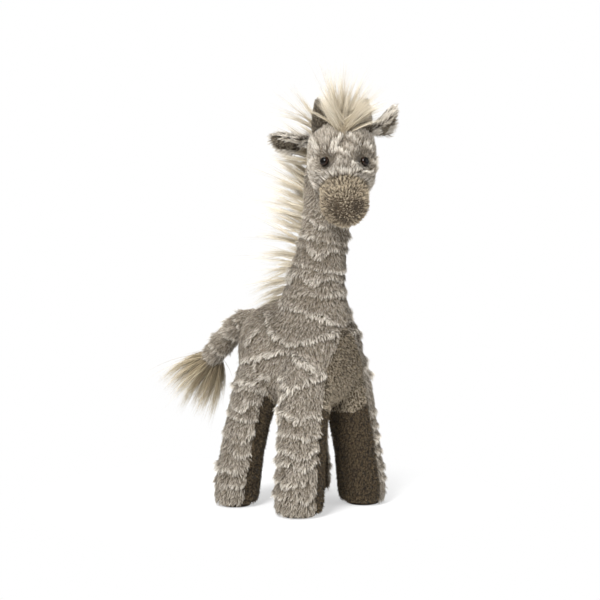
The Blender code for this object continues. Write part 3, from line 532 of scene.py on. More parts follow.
def to_lines(points, lines, flow):
    """Distance to the nearest of several polylines, above zero for points past it along flow."""
    best = np.full(len(points), np.inf)
    signed = np.zeros(len(points))
    for line in lines:
        line = np.asarray(line, float)
        for a, b in zip(line[:-1], line[1:]):
            way = b - a
            t = limit((points - a) @ way / max(way @ way, 1e-12))[:, None]
            gap = points - a - t * way
            away = lengths(gap)
            near = away < best
            signed[near] = (away * np.where((gap * flow).sum(1) < 0, -1, 1))[near]
            best[near] = away[near]
    return signed


# Frames of the moving parts, from the joints and the nodes

def node_centre(name):
    low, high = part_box(name)
    return np.array((low + high) / 2)


def node_points(name):
    return mesh_arrays(NODES[name].data)[0]


EYES = {side: node_centre(f"eye_{side}") for side in SIDES}
HORNS = {side: node_centre(f"horn_{side}") for side in SIDES}
FACE_ASIDE = unit(EYES["left"] - EYES["right"])
NOSE_WAY = unit(across(node_centre("muzzle_skin") - node_centre("head_skin"), FACE_ASIDE))
FACE_UP = np.cross(FACE_ASIDE, NOSE_WAY)
FACE_UP = FACE_UP if FACE_UP[2] > 0 else -FACE_UP
HEAD_CENTRE = node_centre("head_filling")
NOSE = node_points("muzzle_skin")[(node_points("muzzle_skin") @ NOSE_WAY).argmax()]
TURN_AXIS = np.array(JOINTS["head_turn"]["pos_m"])
TAIL_ROOT = np.array(JOINTS["tail_lift"]["pos_m"])
TAIL_WAY = unit(node_centre("tail_tuft") - TAIL_ROOT)
NECK_RADIUS = 0.0235


# Ridges: lines of longer, paler pile that divide the coat into patches. Those of the body are points on the
# giraffe's left side, and the right side has the same, in millimetres from the middle of the feet.

FEET = np.mean([node_centre(f"sole_{leg}") for leg in LEG_NAMES], axis=0) * (1, 1, 0)
RIDGE_PLACE = -0.0015
RIDGE_WIDTH = 0.0016
DIP_PLACE = 0.0019
DIP_WIDTH = 0.0017
FACE_RIDGE_WIDTH = 0.0017
FACE_DIP_PLACE = 0.0040
FACE_DIP_WIDTH = 0.0018
NECK_RING_HEIGHTS = (0.2810, 0.2665, 0.2530, 0.2385, 0.2250, 0.2110)
LEG_RING_HEIGHTS = {"front": (0.092, 0.078, 0.063, 0.050, 0.035, 0.021),
                    "rear": (0.117, 0.101, 0.086, 0.069, 0.054, 0.038, 0.024)}
BODY_LINES = (
    ((28, 2, 203), (30, -15, 200), (30, -32, 197), (22, -46, 192), (8, -57, 185), (0, -60, 183)),
    ((30, 20, 200), (41, 7, 182), (44, -7, 171), (43, -25, 166), (38, -41, 167), (28, -54, 172), (13, -60, 176)),
    ((46, 17, 137), (47, 13, 149), (46, -8, 156), (44, -25, 158), (43, -37, 152), (42, -49, 144), (21, -58, 132)),
    ((43, 56, 140), (52, 41, 124), (51, 22, 123), (44, 10, 129), (51, -12, 134), (51, -24, 132), (55, -37, 121),
     (53, -21, 107)),
    ((54, -36, 123), (42, -54, 131), (24, -58, 135)),
    ((12, 18, 206), (30, 34, 197), (41, 46, 186), (45, 56, 172), (40, 65, 160), (20, 70, 150)),
    ((44, 15, 176), (46, 28, 165), (47, 43, 160), (44, 56, 172)),
    ((46, 17, 149), (47, 36, 146), (45, 56, 140), (30, 68, 130)),
)
HEAD_LINES = (
    ((1, 34, -25), (1.5, 34, -19), (5, 33.7, -13.4), (10, 32.4, -9.6), (15.7, 29.8, -8), (21, 26, -8.7),
     (25, 21, -7.6)),
    ((0.8, 34.4, -22.6), (-3.4, 34, -15.5), (-6.5, 33.4, -8.8), (-10.5, 31.7, -2.9), (-14.4, 29.6, 1.5)),
    ((-14.4, 29.4, 2.5), (-9.7, 31.6, 0.7), (-4.2, 32.6, 2.6), (0.4, 32.4, 6), (3.2, 31.2, 9.9)),
    ((-21.7, 8.7, 24.9), (-17.4, 16.5, 23.6), (-12, 22.7, 22.3), (-5.5, 26.4, 20.4), (1.1, 25.2, 23),
     (8.8, 25, 20.5), (17.8, 22, 17), (25.4, 13.4, 14)),
    ((-29.5, 12.2, -1), (-30.7, 4, 3), (-29, 2, 12), (-25, 3, 21)),
    ((31, 9, -12), (30.5, 8, -2), (28.5, 9, 7), (26.6, 11.4, 12.6)),
    ((5.9, 28.4, 17), (11.8, 28, 13.3), (19.9, 22.9, 11.7), (26.8, 16.2, 1.9)),
    ((-29.7, 15, -25.7), (-26.6, 20.4, -14), (-24.2, 22.6, -5.2)),
)


def jitter(points):
    """Uneven shifts that make a drawn line wander and fray."""
    wide = [waves(points, 0.013, seed) * 0.0016 for seed in (3, 4, 5)]
    fine = [waves(points, 0.0035, seed) * 0.0006 for seed in (6, 7, 8)]
    return np.stack(wide, 1) + np.stack(fine, 1)


def welt(signed):
    """Height of a raised line and depth of the strip right under it, each from 0 to 1; the pile in that strip is
    painted darker as shade.
    """
    return np.stack([bell(signed - RIDGE_PLACE, RIDGE_WIDTH), bell(signed - DIP_PLACE, DIP_WIDTH)])


def welt_of_rings(points, centre, heights, outward):
    """The same for rings round an upright limb, which hang lowest on its outward side."""
    way = points[:, :2] - centre
    away = 1 - unit(way) @ unit(np.array(outward, float))
    level = (points + jitter(points))[:, 2] - 0.0030 * away + waves(points, 0.034, 9) * 0.0052
    made = [welt(h - level) * np.clip(0.72 + 0.60 * waves(points, 0.030, 60 + i), 0.05, 1)
            for i, h in enumerate(heights)]
    return np.max(made, axis=0)


DOWN = np.array([0, 0.22, -1.0])


def body_welt(points, panel):
    lines = [np.array(line) * MM * (side, 1, 1) + FEET for line in BODY_LINES for side in (1, -1)]
    made = welt(to_lines(points + jitter(points), lines, DOWN))
    if panel == "neck_skin":
        upper = limit((points[:, 2] - 0.200) / 0.01)
        made = np.maximum(made, upper * welt_of_rings(points, TURN_AXIS[:2], NECK_RING_HEIGHTS, (0, -1)))
    if panel.startswith("leg_"):
        _, end, side, _ = panel.split("_")
        middle = node_centre(f"sole_{end}_{side}")[:2]
        outward = (1 if side == "left" else -1, -0.3)
        made = np.maximum(made, welt_of_rings(points, middle, LEG_RING_HEIGHTS[end], outward))
    return made * np.clip(0.88 + 0.40 * waves(points, 0.020, 51), 0.3, 1)


def head_place(points):
    """Places in the head's frame: aside, out of the face and towards the nose, in millimetres."""
    way = points - HEAD_CENTRE
    return np.stack([way @ FACE_ASIDE, way @ FACE_UP, way @ NOSE_WAY], -1) / MM


def head_welt(points):
    """Ridges of the face, with a dip on both sides, whose pile is painted darker as shade."""
    own = head_place(points + jitter(points) * 0.6) * MM
    away = np.abs(to_lines(own, [np.array(line) * MM for line in HEAD_LINES], DOWN))
    return np.stack([bell(away, FACE_RIDGE_WIDTH), bell(away - FACE_DIP_PLACE, FACE_DIP_WIDTH)])


def from_eyes(points):
    """Distance to the nearer eye, and the way from it."""
    gaps = np.stack([points - eye for eye in EYES.values()])
    away = np.linalg.norm(gaps, axis=2)
    near, index = away.argmin(0), np.arange(len(points))
    return away[near, index], unit(gaps[near, index])


# Body

# Strands per square millimetre, then the length and width of a strand
LONG_DENSITY = 2.9
SHORT_DENSITY = 2.6
LONG_PILE = 0.0050
SHORT_PILE = 0.0032
STRAND_WIDTH = 0.00036
FINE_WIDTH = 0.00034
# How steeply the strands of each kind of pile stand off the fabric
COAT_LIFT_DEG = 34
SHORT_LIFT_DEG = 50
MUZZLE_LIFT_DEG = 58
TAIL_LIFT_DEG = 40
EAR_LIFT_DEG = 32
LINING_LIFT_DEG = 44
SHORT_FLOW = np.array([0, 0.1, -1.0])
RIDGE_RISE = 0.0032
DIP_SINK = 0.0013
# Lowest edge of the pale chest, in the middle and its rise towards each side
CHEST_LOW = 0.0945
CHEST_ARCH = 0.017
CHEST_HALF_WIDTH = 0.038
# The chest's painted light: it turns pale below this height, over this distance, and darker, as painted shade,
# above it
CHEST_LIGHT_HEIGHT = 0.142
CHEST_LIGHT_FADE = 0.040
# How many rows of triangles the dark pile of the rear legs runs past its seam
REAR_SEAM_SHIFT = 5
# The body's skin ends where it is this low and faces this far down, round the soles
SOLE_EDGE = 0.0055
SOLE_FACING = -0.6


def skins(points, faces, panels, short_panels, insets, welt_at):
    """Normals, outer and inner surface and owner of each triangle, for a form that several panels cover."""
    normals = normals_of(points, faces)
    owner = owners(points, faces, panels)
    short = np.isin(owner, [i for i, n in enumerate(panels) if n in short_panels]).astype(float)
    total, count = np.zeros(len(points)), np.zeros(len(points))
    for i in range(3):
        np.add.at(total, faces[:, i], short)
        np.add.at(count, faces[:, i], 1)
    share = spread(total / np.maximum(count, 1), faces, 3)
    inset = (insets[0] + (insets[1] - insets[0]) * share)[:, None]
    rise = np.zeros(len(points))
    for i, panel in enumerate(panels):
        if panel not in short_panels:
            own = np.unique(faces[owner == i])
            ridge, dip = welt_at(points[own], panel)
            rise[own] = RIDGE_RISE * ridge - DIP_SINK * dip
    outer = points + normals * (spread(rise, faces, 1)[:, None] - inset)
    normals = normals_of(outer, faces)
    depth = SKIN_THICKNESS + STUFFING_GAP
    return normals, outer, outer - normals * SKIN_THICKNESS, outer - normals * depth, owner


def stuffing(part, points, faces):
    soft_piece(f"{part}_filling", points, faces, "stuffing", 0.8, f"{part}_stuffing")


def skin_piece(node, outer, inner, faces, look):
    soft_piece(node, *shell(outer, inner, faces), look, 0.85)


def coat_tones(roots, ridge, dip, base):
    tone = base + 0.08 * waves(roots, 0.030, 21) + 0.04 * waves(roots, 0.008, 22) + rng.normal(0, 0.27, len(roots))
    # Paler on the ridges; darker in the strip right under each ridge: painted shade under its overhang.
    return limit(tone + 0.95 * ridge - 0.55 * dip)


def coat(panel, outer, normals, faces, points, flow_of, welt_at, length_at, lift, base):
    """The long pile of a panel, which is longer, steeper and paler on the ridges, and shorter, flatter and darker,
    with painted shade, in the strip under them.
    """
    roots, out, places = scatter(outer, normals, faces, LONG_DENSITY, points)
    ridge, dip = welt_at(places, panel)
    pile(panel, roots, out, flow_of(roots, out), length_at(places) * (0.92 + 0.30 * ridge - 0.40 * dip),
         lift + 16 * ridge - 12 * dip, STRAND_WIDTH, coat_tones(places, ridge, dip, base), "coat", each=6,
         share=0.50, mottle=0.11)


def body_flow(roots, out):
    """Down and a little back, swirling from patch to patch."""
    turn = (0.55 * waves(roots, 0.055, 41) * np.clip((roots[:, 2] - 0.11) / 0.02, 0.3, 1))[:, None]
    flow = unit(across(DOWN, out))
    return swing(flow, np.cross(out, flow), turn)


def body_length(places):
    """Longer towards the feet."""
    return LONG_PILE * (1 + 0.28 * limit(1.1 - places[:, 2] / 0.09))


# Rise of the neck's top in the middle, where it runs up into the head
NECK_DOME = 0.013


def domed(points):
    """The neck's flat top as a dome about the head's own axis, which stays closed as the head turns."""
    reach = lengths((points - TURN_AXIS)[:, :2]) / NECK_RADIUS
    top = limit((points[:, 2] - TURN_AXIS[2]) / 0.005 + 1)
    return points + np.outer(NECK_DOME * top * limit(1.15 - reach ** 2), (0, 0, 1))


def build_body():
    points, faces = remeshed(BODY_PANELS + ["body_filling"], BODY_VOXEL, 10)
    points = domed(points)
    normals, outer, inner, stuffed, owner = skins(points, faces, BODY_PANELS, SHORT_PANELS,
                                                  (LONG_INSET, SHORT_INSET), body_welt)
    for leg in LEG_NAMES[2:]:
        inner_panel, outer_panel = (BODY_PANELS.index(f"leg_{leg}_{half}") for half in ("inner", "outer"))
        for _ in range(REAR_SEAM_SHIFT):
            marked = np.zeros(len(points), bool)
            marked[faces[owner == inner_panel]] = True
            owner[marked[faces].any(1) & (owner == outer_panel)] = inner_panel
    stuffing("body", stuffed, faces)
    skin = ~((points[faces].mean(1)[:, 2] < SOLE_EDGE) & (normals[faces].mean(1)[:, 2] < SOLE_FACING))
    for i, panel in enumerate(BODY_PANELS):
        part = faces[skin & (owner == i)]
        if panel not in SHORT_PANELS:
            skin_piece(panel, outer, inner, part, "coat_backing")
            coat(panel, outer, normals, part, points, body_flow, body_welt, body_length, COAT_LIFT_DEG,
                 0.13 if panel.startswith("leg_") else 0.01)
            continue
        skin_piece(panel, outer, inner, part, "dark_backing")
        roots, out, _ = scatter(outer, normals, part, SHORT_DENSITY)
        tone = 0.22 + 0.12 * waves(roots, 0.02, 31) + rng.normal(0, 0.34, len(roots))
        low = CHEST_LOW + CHEST_ARCH * (roots[:, 0] / CHEST_HALF_WIDTH) ** 2
        pale = roots[:, 2] + waves(roots, 0.02, 32) * 0.0015 > low
        if pale.any():
            # Painted light and shade on the chest: paler towards the bottom, darker higher up, and paler where the
            # strands face down.
            tone = tone - 0.08 + np.clip((CHEST_LIGHT_HEIGHT - roots[:, 2]) / CHEST_LIGHT_FADE, -0.5, 1) * 0.92
            tone += 1.0 * limit(-out[:, 2])
        for look, own in (("chest", pale), ("dark", ~pale)):
            if own.any():
                pile(panel, roots[own], out[own], SHORT_FLOW, SHORT_PILE, SHORT_LIFT_DEG, STRAND_WIDTH,
                     tone[own], look, steps=3, each=5, share=0.6, ruffle=0.7, mottle=0.42, unrest=14,
                     name=f"{panel}_{look}_pile")


SOLE_SHARE = 0.84


def build_soles():
    for leg in LEG_NAMES:
        node = f"sole_{leg}"
        points, faces = remeshed([node], SOLE_VOXEL, 4)
        middle = node_centre(node) * (1, 1, 0)
        points = middle + (points - middle) * (SOLE_SHARE, SOLE_SHARE, 1)
        soft_piece(node, points, faces, "dark_backing", 0.9)


# Head

# How far the face's ridges rise, as a share of the body's
FACE_RISE_SHARE = 0.6
FACE_PILE = 0.0056
MUZZLE_PILE = 0.0038
HEAD_DENSITY = 3.0
# No pile grows nearer to an eye's middle than this
EYE_CLEARANCE = 0.0060
# In the head's frame, in millimetres: the left nostril, the radius of its middle, dark with painted shade, and the
# muzzle's seam
NOSTRIL = (7.8, 14.0, 52.5)
PIT_RADIUS = 3.1
MUZZLE_SEAM = 22


def shaped_face(points, faces):
    """The head with sockets, brows, cheeks, nostrils and a groove up the brow, all in millimetres."""
    place = head_place(points)

    def swell(where, radius):
        return bell(lengths(place - where), radius)

    bump = -4.6 * bell(from_eyes(points)[0] / MM, 6.4)
    for side in (1, -1):
        bump += 3.0 * swell((side * 14, 29, -14), 9) + 2.4 * swell((side * 26, 12, 12), 9)
        bump += 1.8 * swell((side * 12, 26, 13), 6) - 5.0 * swell((side * NOSTRIL[0], *NOSTRIL[1:]), 3.4)
    bump += 2.2 * swell((0, 32, 7), 6)
    bump -= 3.2 * bell(place[:, 0], 4) * (place[:, 1] > 20) * limit((0 - place[:, 2]) / 10)
    return points + normals_of(points, faces) * spread(bump, faces, 2)[:, None] * MM


def build_head():
    points, faces = remeshed(HEAD_NODES, HEAD_VOXEL, 8)
    points = shaped_face(points, faces)
    normals, outer, inner, stuffed, owner = skins(points, faces, HEAD_NODES[:2], {"muzzle_skin"}, HEAD_INSETS,
                                                  lambda own, _: head_welt(own) * FACE_RISE_SHARE)
    stuffing("head", stuffed, faces)
    skin_piece("head_skin", outer, inner, faces[owner == 0], "coat_backing")
    skin_piece("muzzle_skin", outer, inner, faces[owner == 1], "muzzle_backing")

    def clear(roots, out, places):
        """Outside the hollow for the neck and off the eyes."""
        reach = lengths((roots - TURN_AXIS)[:, :2])
        hollow = (reach < NECK_RADIUS - 0.0025) & (roots[:, 2] < TURN_AXIS[2])
        kept = ~hollow & (from_eyes(roots)[0] > EYE_CLEARANCE)
        return roots[kept], out[kept], places[kept]

    def away(roots, eye_share):
        """From the nose, and near an eye from the eye."""
        gap, way = from_eyes(roots)
        return unit(roots - (NOSE + NOSE_WAY * 0.01)) + way * (eye_share * bell(gap, 0.0095))[:, None]

    roots, out, places = clear(*scatter(outer, normals, faces[owner == 0], HEAD_DENSITY, points))
    gap, _ = from_eyes(roots)
    ridge, dip = head_welt(places)
    towards_nose = head_place(places)[:, 2]
    seam = bell(towards_nose - MUZZLE_SEAM, 4) * (out @ FACE_UP > 0.2)
    length = FACE_PILE * (1 + 0.30 * ridge - 0.25 * dip) * np.clip((gap - 0.003) / 0.010, 0.30, 1)
    brow = limit((-2 - towards_nose) / 10)
    # Darker in the dips beside the face's ridges and round the eyes: painted shade in these hollows.
    tone = coat_tones(places, 0.68 * ridge, 0.8 * dip, 0.38) - 0.12 * brow + 0.25 * seam - 0.85 * bell(gap, 0.0080)
    pile("head_skin", roots, out, away(roots, 3.4), length, 32 + 10 * ridge + 16 * seam, FINE_WIDTH,
         limit(tone), "coat", each=5, share=0.42, mottle=0.07)

    roots, out, _ = clear(*scatter(outer, normals, faces[owner == 1], HEAD_DENSITY))
    place = head_place(roots)
    pits = np.min([lengths(place - (side * NOSTRIL[0], *NOSTRIL[1:])) for side in (1, -1)], axis=0)
    shade = limit((place[:, 2] - 30) / 24)
    # Painted shade: darker in the nostril pits.
    tone = 0.66 - 0.25 * shade + rng.normal(0, 0.20, len(roots)) - 1.6 * bell(pits, 4.6)
    length = MUZZLE_PILE * np.clip(pits / 7 - 0.25, 0.10, 1)
    # The dark pile inside the nostrils stands for the shade in their pits.
    for name, look, own in (("muzzle_skin", "muzzle", pits >= PIT_RADIUS), ("nostril", "dark", pits < PIT_RADIUS)):
        pile("muzzle_skin", roots[own], out[own], away(roots[own], 0), length[own], MUZZLE_LIFT_DEG,
             FINE_WIDTH, limit(tone[own]), look, steps=3, each=7, share=0.55 + 0.25 * shade[own], ruffle=0.8,
             mottle=0.40, unrest=16, name=f"{name}_pile")


# Tail

TAIL_RINGS = (0.019, 0.038, 0.064)
TAIL_REACH = ((node_points("tail_skin") - TAIL_ROOT) @ TAIL_WAY).max()
TAIL_PILE = 0.0070
TAIL_STUFFING_INSET = 0.0014
TAIL_ROOT_INSET = 0.0012
# How far the root's end bends down and forward into the rump, and the length along the tail that bends
TAIL_BEND = np.array((0, -0.0030, -0.0068))
TAIL_BEND_LENGTH = 0.030
TAIL_DROOP = 0.008


def drooped(points):
    """The tail's own weight: its end hangs a little lower than the solid's."""
    along = limit((points - TAIL_ROOT) @ TAIL_WAY / TAIL_REACH)
    return points - np.array((0, 0, TAIL_DROOP)) * along[..., None] ** 2


def tail_root(points):
    """One at the tail's root, where the rump's fabric lies round it, and none further along."""
    return limit(1.15 - (points - TAIL_ROOT) @ TAIL_WAY / 0.020)


def rooted(points, faces, inset=0.0):
    """The tail's form, drawn in round its root, whose end bends down into the rump."""
    normals = normals_of(points, faces)
    bend = np.clip(1 - (points - TAIL_ROOT) @ TAIL_WAY / TAIL_BEND_LENGTH, 0, 1.4) ** 2
    inward = across(normals, TAIL_WAY) * (TAIL_ROOT_INSET * tail_root(points))[:, None]
    return drooped(points - normals * inset - inward + np.outer(bend, TAIL_BEND))


def build_tail():
    def rings(places, _):
        along = (places + jitter(places) - TAIL_ROOT) @ TAIL_WAY
        return np.max([welt(along - s) for s in TAIL_RINGS], axis=0) * 0.65 * (1 - tail_root(places))

    core, core_faces = remeshed(["tail_filling"], TAIL_VOXEL, 6)
    stuffing("tail", rooted(core, core_faces, TAIL_STUFFING_INSET), core_faces)
    points, faces = remeshed(["tail_skin", "tail_filling"], TAIL_VOXEL, 6)
    points = rooted(points, faces)
    normals, outer, inner, _, _ = skins(points, faces, ["tail_skin"], set(), (0.0, 0.0), rings)
    skin_piece("tail_skin", outer, inner, faces, "coat_backing")
    coat("tail_skin", outer, normals, faces, points, lambda *_: TAIL_WAY, rings,
         lambda places: TAIL_PILE * (1 - 0.55 * tail_root(places)), TAIL_LIFT_DEG, 0.03)


# Horns

HORN_PILE = 0.0026
HORN_DENSITY = 3.4
# How far a horn's foot stands out of its solid, how much it narrows and how much its tip is blunted
HORN_FLARE = 0.0014
HORN_TAPER = 0.0032
HORN_BLUNT = 0.0015


def build_horns():
    for side, centre in HORNS.items():
        node = f"horn_{side}"
        points, faces = remeshed([node], HORN_VOXEL, 6)
        normals = normals_of(points, faces)
        rise = unit(centre - HEAD_CENTRE)
        along = points @ rise
        along = (along - along.min()) / np.ptp(along)
        flare = (HORN_FLARE - HORN_TAPER * along)[:, None]
        outer = points + normals * flare - rise * (HORN_BLUNT * along ** 2)[:, None]
        soft_piece(node, outer, faces, "dark_backing", 0.8)
        roots, out, _ = scatter(outer, normals, faces, HORN_DENSITY)
        tone = limit(0.27 + rng.normal(0, 0.20, len(roots)))
        pile(node, roots, out, UP, HORN_PILE, SHORT_LIFT_DEG, FINE_WIDTH, tone, "horn", steps=3, each=5,
             share=0.5, ruffle=0.8, mottle=0.22, unrest=14)


# Ears

EAR_HALF_WIDTH = 0.0133
# How far along each ear the long pile of its upper edge covers the hollow
EAR_PALE = {"left": 0.026, "right": 0.034}
EAR_DENSITY = 4.0
EAR_PILE = 0.0060
LINING_PILE = 0.0030
LINING_WIDTH = 0.00032
EAR_INSET = 0.0004


def ear_frame(side):
    """Root, way to the tip, way across and the lining's side."""
    joint = JOINTS[f"ear_{side}_flop"]
    root = np.array(joint["pos_m"])
    seam = unit(np.array(joint["axis"]))
    tip = node_points(f"ear_{side}")
    tip = unit(across(tip[lengths(tip - root).argmax()] - root, seam))
    face = np.cross(tip, seam)
    lining = node_centre(f"ear_{side}_lining") - node_centre(f"ear_{side}")
    return root, tip, seam, face if face @ lining > 0 else -face


def build_ears():
    for side in SIDES:
        ear, lining = f"ear_{side}", f"ear_{side}_lining"
        root, tip, seam, face = ear_frame(side)

        def furred(places):
            """The part of the ear's hollow that the long pile of its upper edge covers."""
            upper = (places - root) @ seam * np.sign(seam[2]) / EAR_HALF_WIDTH
            along = (places - root) @ tip
            return (along < 0.007) | (upper > 1.1 * (along / EAR_PALE[side]) ** 2 - 0.12)

        points, faces = remeshed([ear], EAR_VOXEL, 5)
        normals = normals_of(points, faces)
        outer = points - normals * EAR_INSET
        soft_piece(ear, outer, faces, "coat_backing", 0.4)
        roots, out, _ = scatter(outer, normals, faces, EAR_DENSITY)
        edge = np.abs((roots - root) @ seam) / EAR_HALF_WIDTH
        kept = (out @ face < 0.35) | (edge > 0.72) | furred(roots)
        roots, out, edge = roots[kept], out[kept], edge[kept]
        flow = tip + np.outer(np.sign((roots - root) @ seam) * 0.30, seam)
        roots = roots + out * (0.0014 * (out @ face > 0.35))[:, None]
        ridge = limit((edge - 0.6) / 0.3)
        inside = (out @ face > 0.2) & furred(roots)
        pile(ear, roots, out, flow, EAR_PILE * (1 + 0.2 * ridge), EAR_LIFT_DEG, FINE_WIDTH,
             coat_tones(roots, 0.35 * ridge, 0, 0.58 + 0.26 * inside), "coat", each=7, share=0.5, mottle=0.10)

        points, faces = remeshed([lining], LINING_VOXEL, 3)
        normals = normals_of(points, faces)
        soft_piece(lining, points - normals * SHORT_INSET, faces, "dark_backing", 0.3)
        roots, out, _ = scatter(points, normals, faces, EAR_DENSITY)
        kept = (out @ face > 0.2) & ~furred(roots)
        roots, out = roots[kept], out[kept]
        tone = 0.56 + 0.4 * bell((roots - root) @ seam, 0.0022) + rng.normal(0, 0.2, len(roots))
        pile(lining, roots, out, tip, LINING_PILE, LINING_LIFT_DEG, LINING_WIDTH, limit(tone), "horn", steps=3,
             each=5, share=0.5, ruffle=0.7, mottle=0.28, unrest=12)


# Eyes

EYE_RADIUS = 0.0047
EYE_HEIGHT = 0.0040
EYE_DEPTH = 0.0035
# Depth of the cap of the solid's dome that the bead's middle is taken from, and how far the bead sits out
EYE_CAP = 0.0030
EYE_STAND = 0.0004


def build_eyes():
    """Glass-like domes with a brown iris ring, on the frame's own places."""
    for side, centre in EYES.items():
        node = f"eye_{side}"
        points = node_points(node)
        way = unit(centre - HEAD_CENTRE)
        reach = points @ way
        dome = points[reach > reach.max() - EYE_CAP]
        seat = across(dome.mean(0), way) + way * (reach.max() - EYE_HEIGHT + EYE_STAND)
        u = unit(across(UP, way))
        v = np.cross(way, u)
        rings, sides = 14, 40
        verts, faces = [], []
        for i in range(rings):
            turn = math.pi / 2 * i / (rings - 1)
            r, h = EYE_RADIUS * math.cos(turn), EYE_HEIGHT * math.sin(turn)
            verts += [seat + turned(u, v, 2 * math.pi * j / sides) * max(r, 1e-5) + way * h for j in range(sides)]
        for i in range(rings - 1):
            for j in range(sides):
                a, b = i * sides + j, i * sides + (j + 1) % sides
                faces += [(a, b, b + sides), (a, b + sides, a + sides)]
        base = len(verts)
        verts.append(seat - way * EYE_DEPTH)
        faces += [((j + 1) % sides, j, base) for j in range(sides)]
        made = piece(f"{node}_bead", np.array(verts), np.array(faces), "eye", node)
        layer = made.data.uv_layers.new(name="OFBake")
        index = np.empty(len(made.data.loops), np.int32)
        made.data.loops.foreach_get("vertex_index", index)
        away = lengths(across(np.array(verts) - seat, way)) / EYE_RADIUS
        away[base] = 1
        layer.data.foreach_set("uv", np.stack([(index % sides) / sides, away[index]], 1).ravel())
        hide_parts(node, f"eye_washer_{side}")


# Long hair

HAIR_WIDTH = 0.00040
TUFT_HAIR_WIDTH = 0.00044
HAIR_STEPS = 8
# Share of the strands that stray from their lock
STRAY = 0.10


# A lock of long hair: where its strands leave, how far apart, the ways it starts and ends, its length, how many
# strands it has and how pale it is

def hair(name, node, locks, look="mane", width=HAIR_WIDTH, gather=0.88, fray=0.035, ceiling=1.0):
    """Locks of strands that run together towards a point, with a few that stray, all below a ceiling."""
    paths, widths, tones = [], [], []
    t = np.linspace(0, 1, HAIR_STEPS)[None, :, None]
    for place, spans, start, end, length, count, pale in locks:
        start, end = unit(start), unit(end)
        offset = (rng.normal(0, 0.5, (count, len(spans))) @ np.asarray(spans)).reshape(count, 3)
        wild = (rng.random(count) < STRAY)[:, None]
        noise = rng.normal(size=(count, 3)) * length * fray * np.where(wild, 2.6, 1)
        root = place + offset
        middle = place + start * length * 0.48 + offset * (1 - gather * 0.45) + noise * 0.4
        tip = place + unit(start * 0.3 + end) * length + offset * (1 - gather) + noise
        reach = np.where(wild, rng.uniform(0.7, 1.05, (count, 1)), 1 - 0.55 * rng.random((count, 1)) ** 2)
        reach = np.minimum(reach, (ceiling - root[:, 2:]) / np.maximum((tip - root)[:, 2:], 0.001))
        paths.append(bow(root, middle, tip, t * reach[:, :, None]))
        widths.append(width * rng.uniform(0.6, 1.2, count))
        tones.append(limit(pale + rng.normal(0, 0.24, count)))
    paths = np.concatenate(paths)
    axis = unit(paths[:, -1] - paths[:, 0])
    side = unit(np.cross(axis, rng.normal(size=axis.shape)))
    strands = paths, side, np.concatenate(widths), np.concatenate(tones)
    for made in strand_piece(name, strands, look, node):
        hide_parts(node)


def first_hit(tree, start, way):
    return np.array(tree.ray_cast(Vector(start), Vector(way))[0])


# Height on the neck's back in millimetres, rise in degrees and length in millimetres of each main lock
MANE_LOCKS = (
    (210, -20, 56), (218, -17, 64), (227, -9, 66), (238, -3, 66), (249, 8, 58), (260, 13, 66), (271, 16, 60),
    (281, 15, 66), (291, 22, 60), (300, 20, 68), (309, 26, 60), (318, 24, 66), (327, 30, 60),
)
# Width and height in millimetres of the spot that each kind of lock leaves from, and its strands
MANE_KINDS = {"main": (3.0, 2.6, 84), "side": (2.6, 1.6, 24), "base": (4.2, 4.6, 44), "wisp": (1.2, 0.9, 16)}


def build_neck_mane():
    """Locks down the back of the neck, which stand out backwards and droop near the shoulders."""
    tree = surface_tree(*remeshed(["neck_skin", "body_filling", "body_skin"], SEAT_VOXEL, 6))
    locks = []
    for height, rise, length in MANE_LOCKS:
        for kind in ("main", "side", "base", "base", "wisp", "wisp", "wisp", "wisp", "wisp"):
            main = kind == "main"
            calm = 0.35 if height < 225 else 1
            turn = math.radians(rng.normal(0, 6 if main else 13) * calm)
            lift = math.radians(rise + (rng.normal(0, 3) if main else rng.normal(2, 8)) * calm)
            z = (height + (0 if main else rng.uniform(-6, 6) * calm)) * MM
            back = Vector((math.sin(turn), math.cos(turn), 0))
            place = first_hit(tree, (0, TURN_AXIS[1], z), back) - np.array(back) * 0.003
            fan = turn + math.radians(rng.normal(0, 7))
            end = np.array((math.sin(fan) * math.cos(lift), math.cos(fan) * math.cos(lift), math.sin(lift)))
            wide, high, count = MANE_KINDS[kind]
            shares = {"main": 1.08, "side": rng.uniform(0.65, 0.85), "base": rng.uniform(0.3, 0.42),
                      "wisp": rng.uniform(0.80, 1.18)}
            locks.append((place, ((wide * MM, 0, 0), (0, 0, high * MM)), end + (0, 0.2, 0.18), end - (0, 0, 0.10),
                          length * MM * shares[kind], count, rng.normal(0.55, 0.12)))
    hair("neck_mane_hair", "neck_mane", locks, gather=0.95)


# Rise of the seat, turn of the seat to the giraffe's right, rise of the lock, all in degrees, and length in
# millimetres, of each main lock behind the head
NAPE_LOCKS = ((-16, 40, 0, 40), (-4, 58, 14, 54), (6, 54, 20, 58), (15, 48, 17, 54), (24, 42, 26, 58),
              (34, 34, 30, 52), (46, 24, 42, 50), (58, 14, 55, 48), (70, 6, 66, 46))


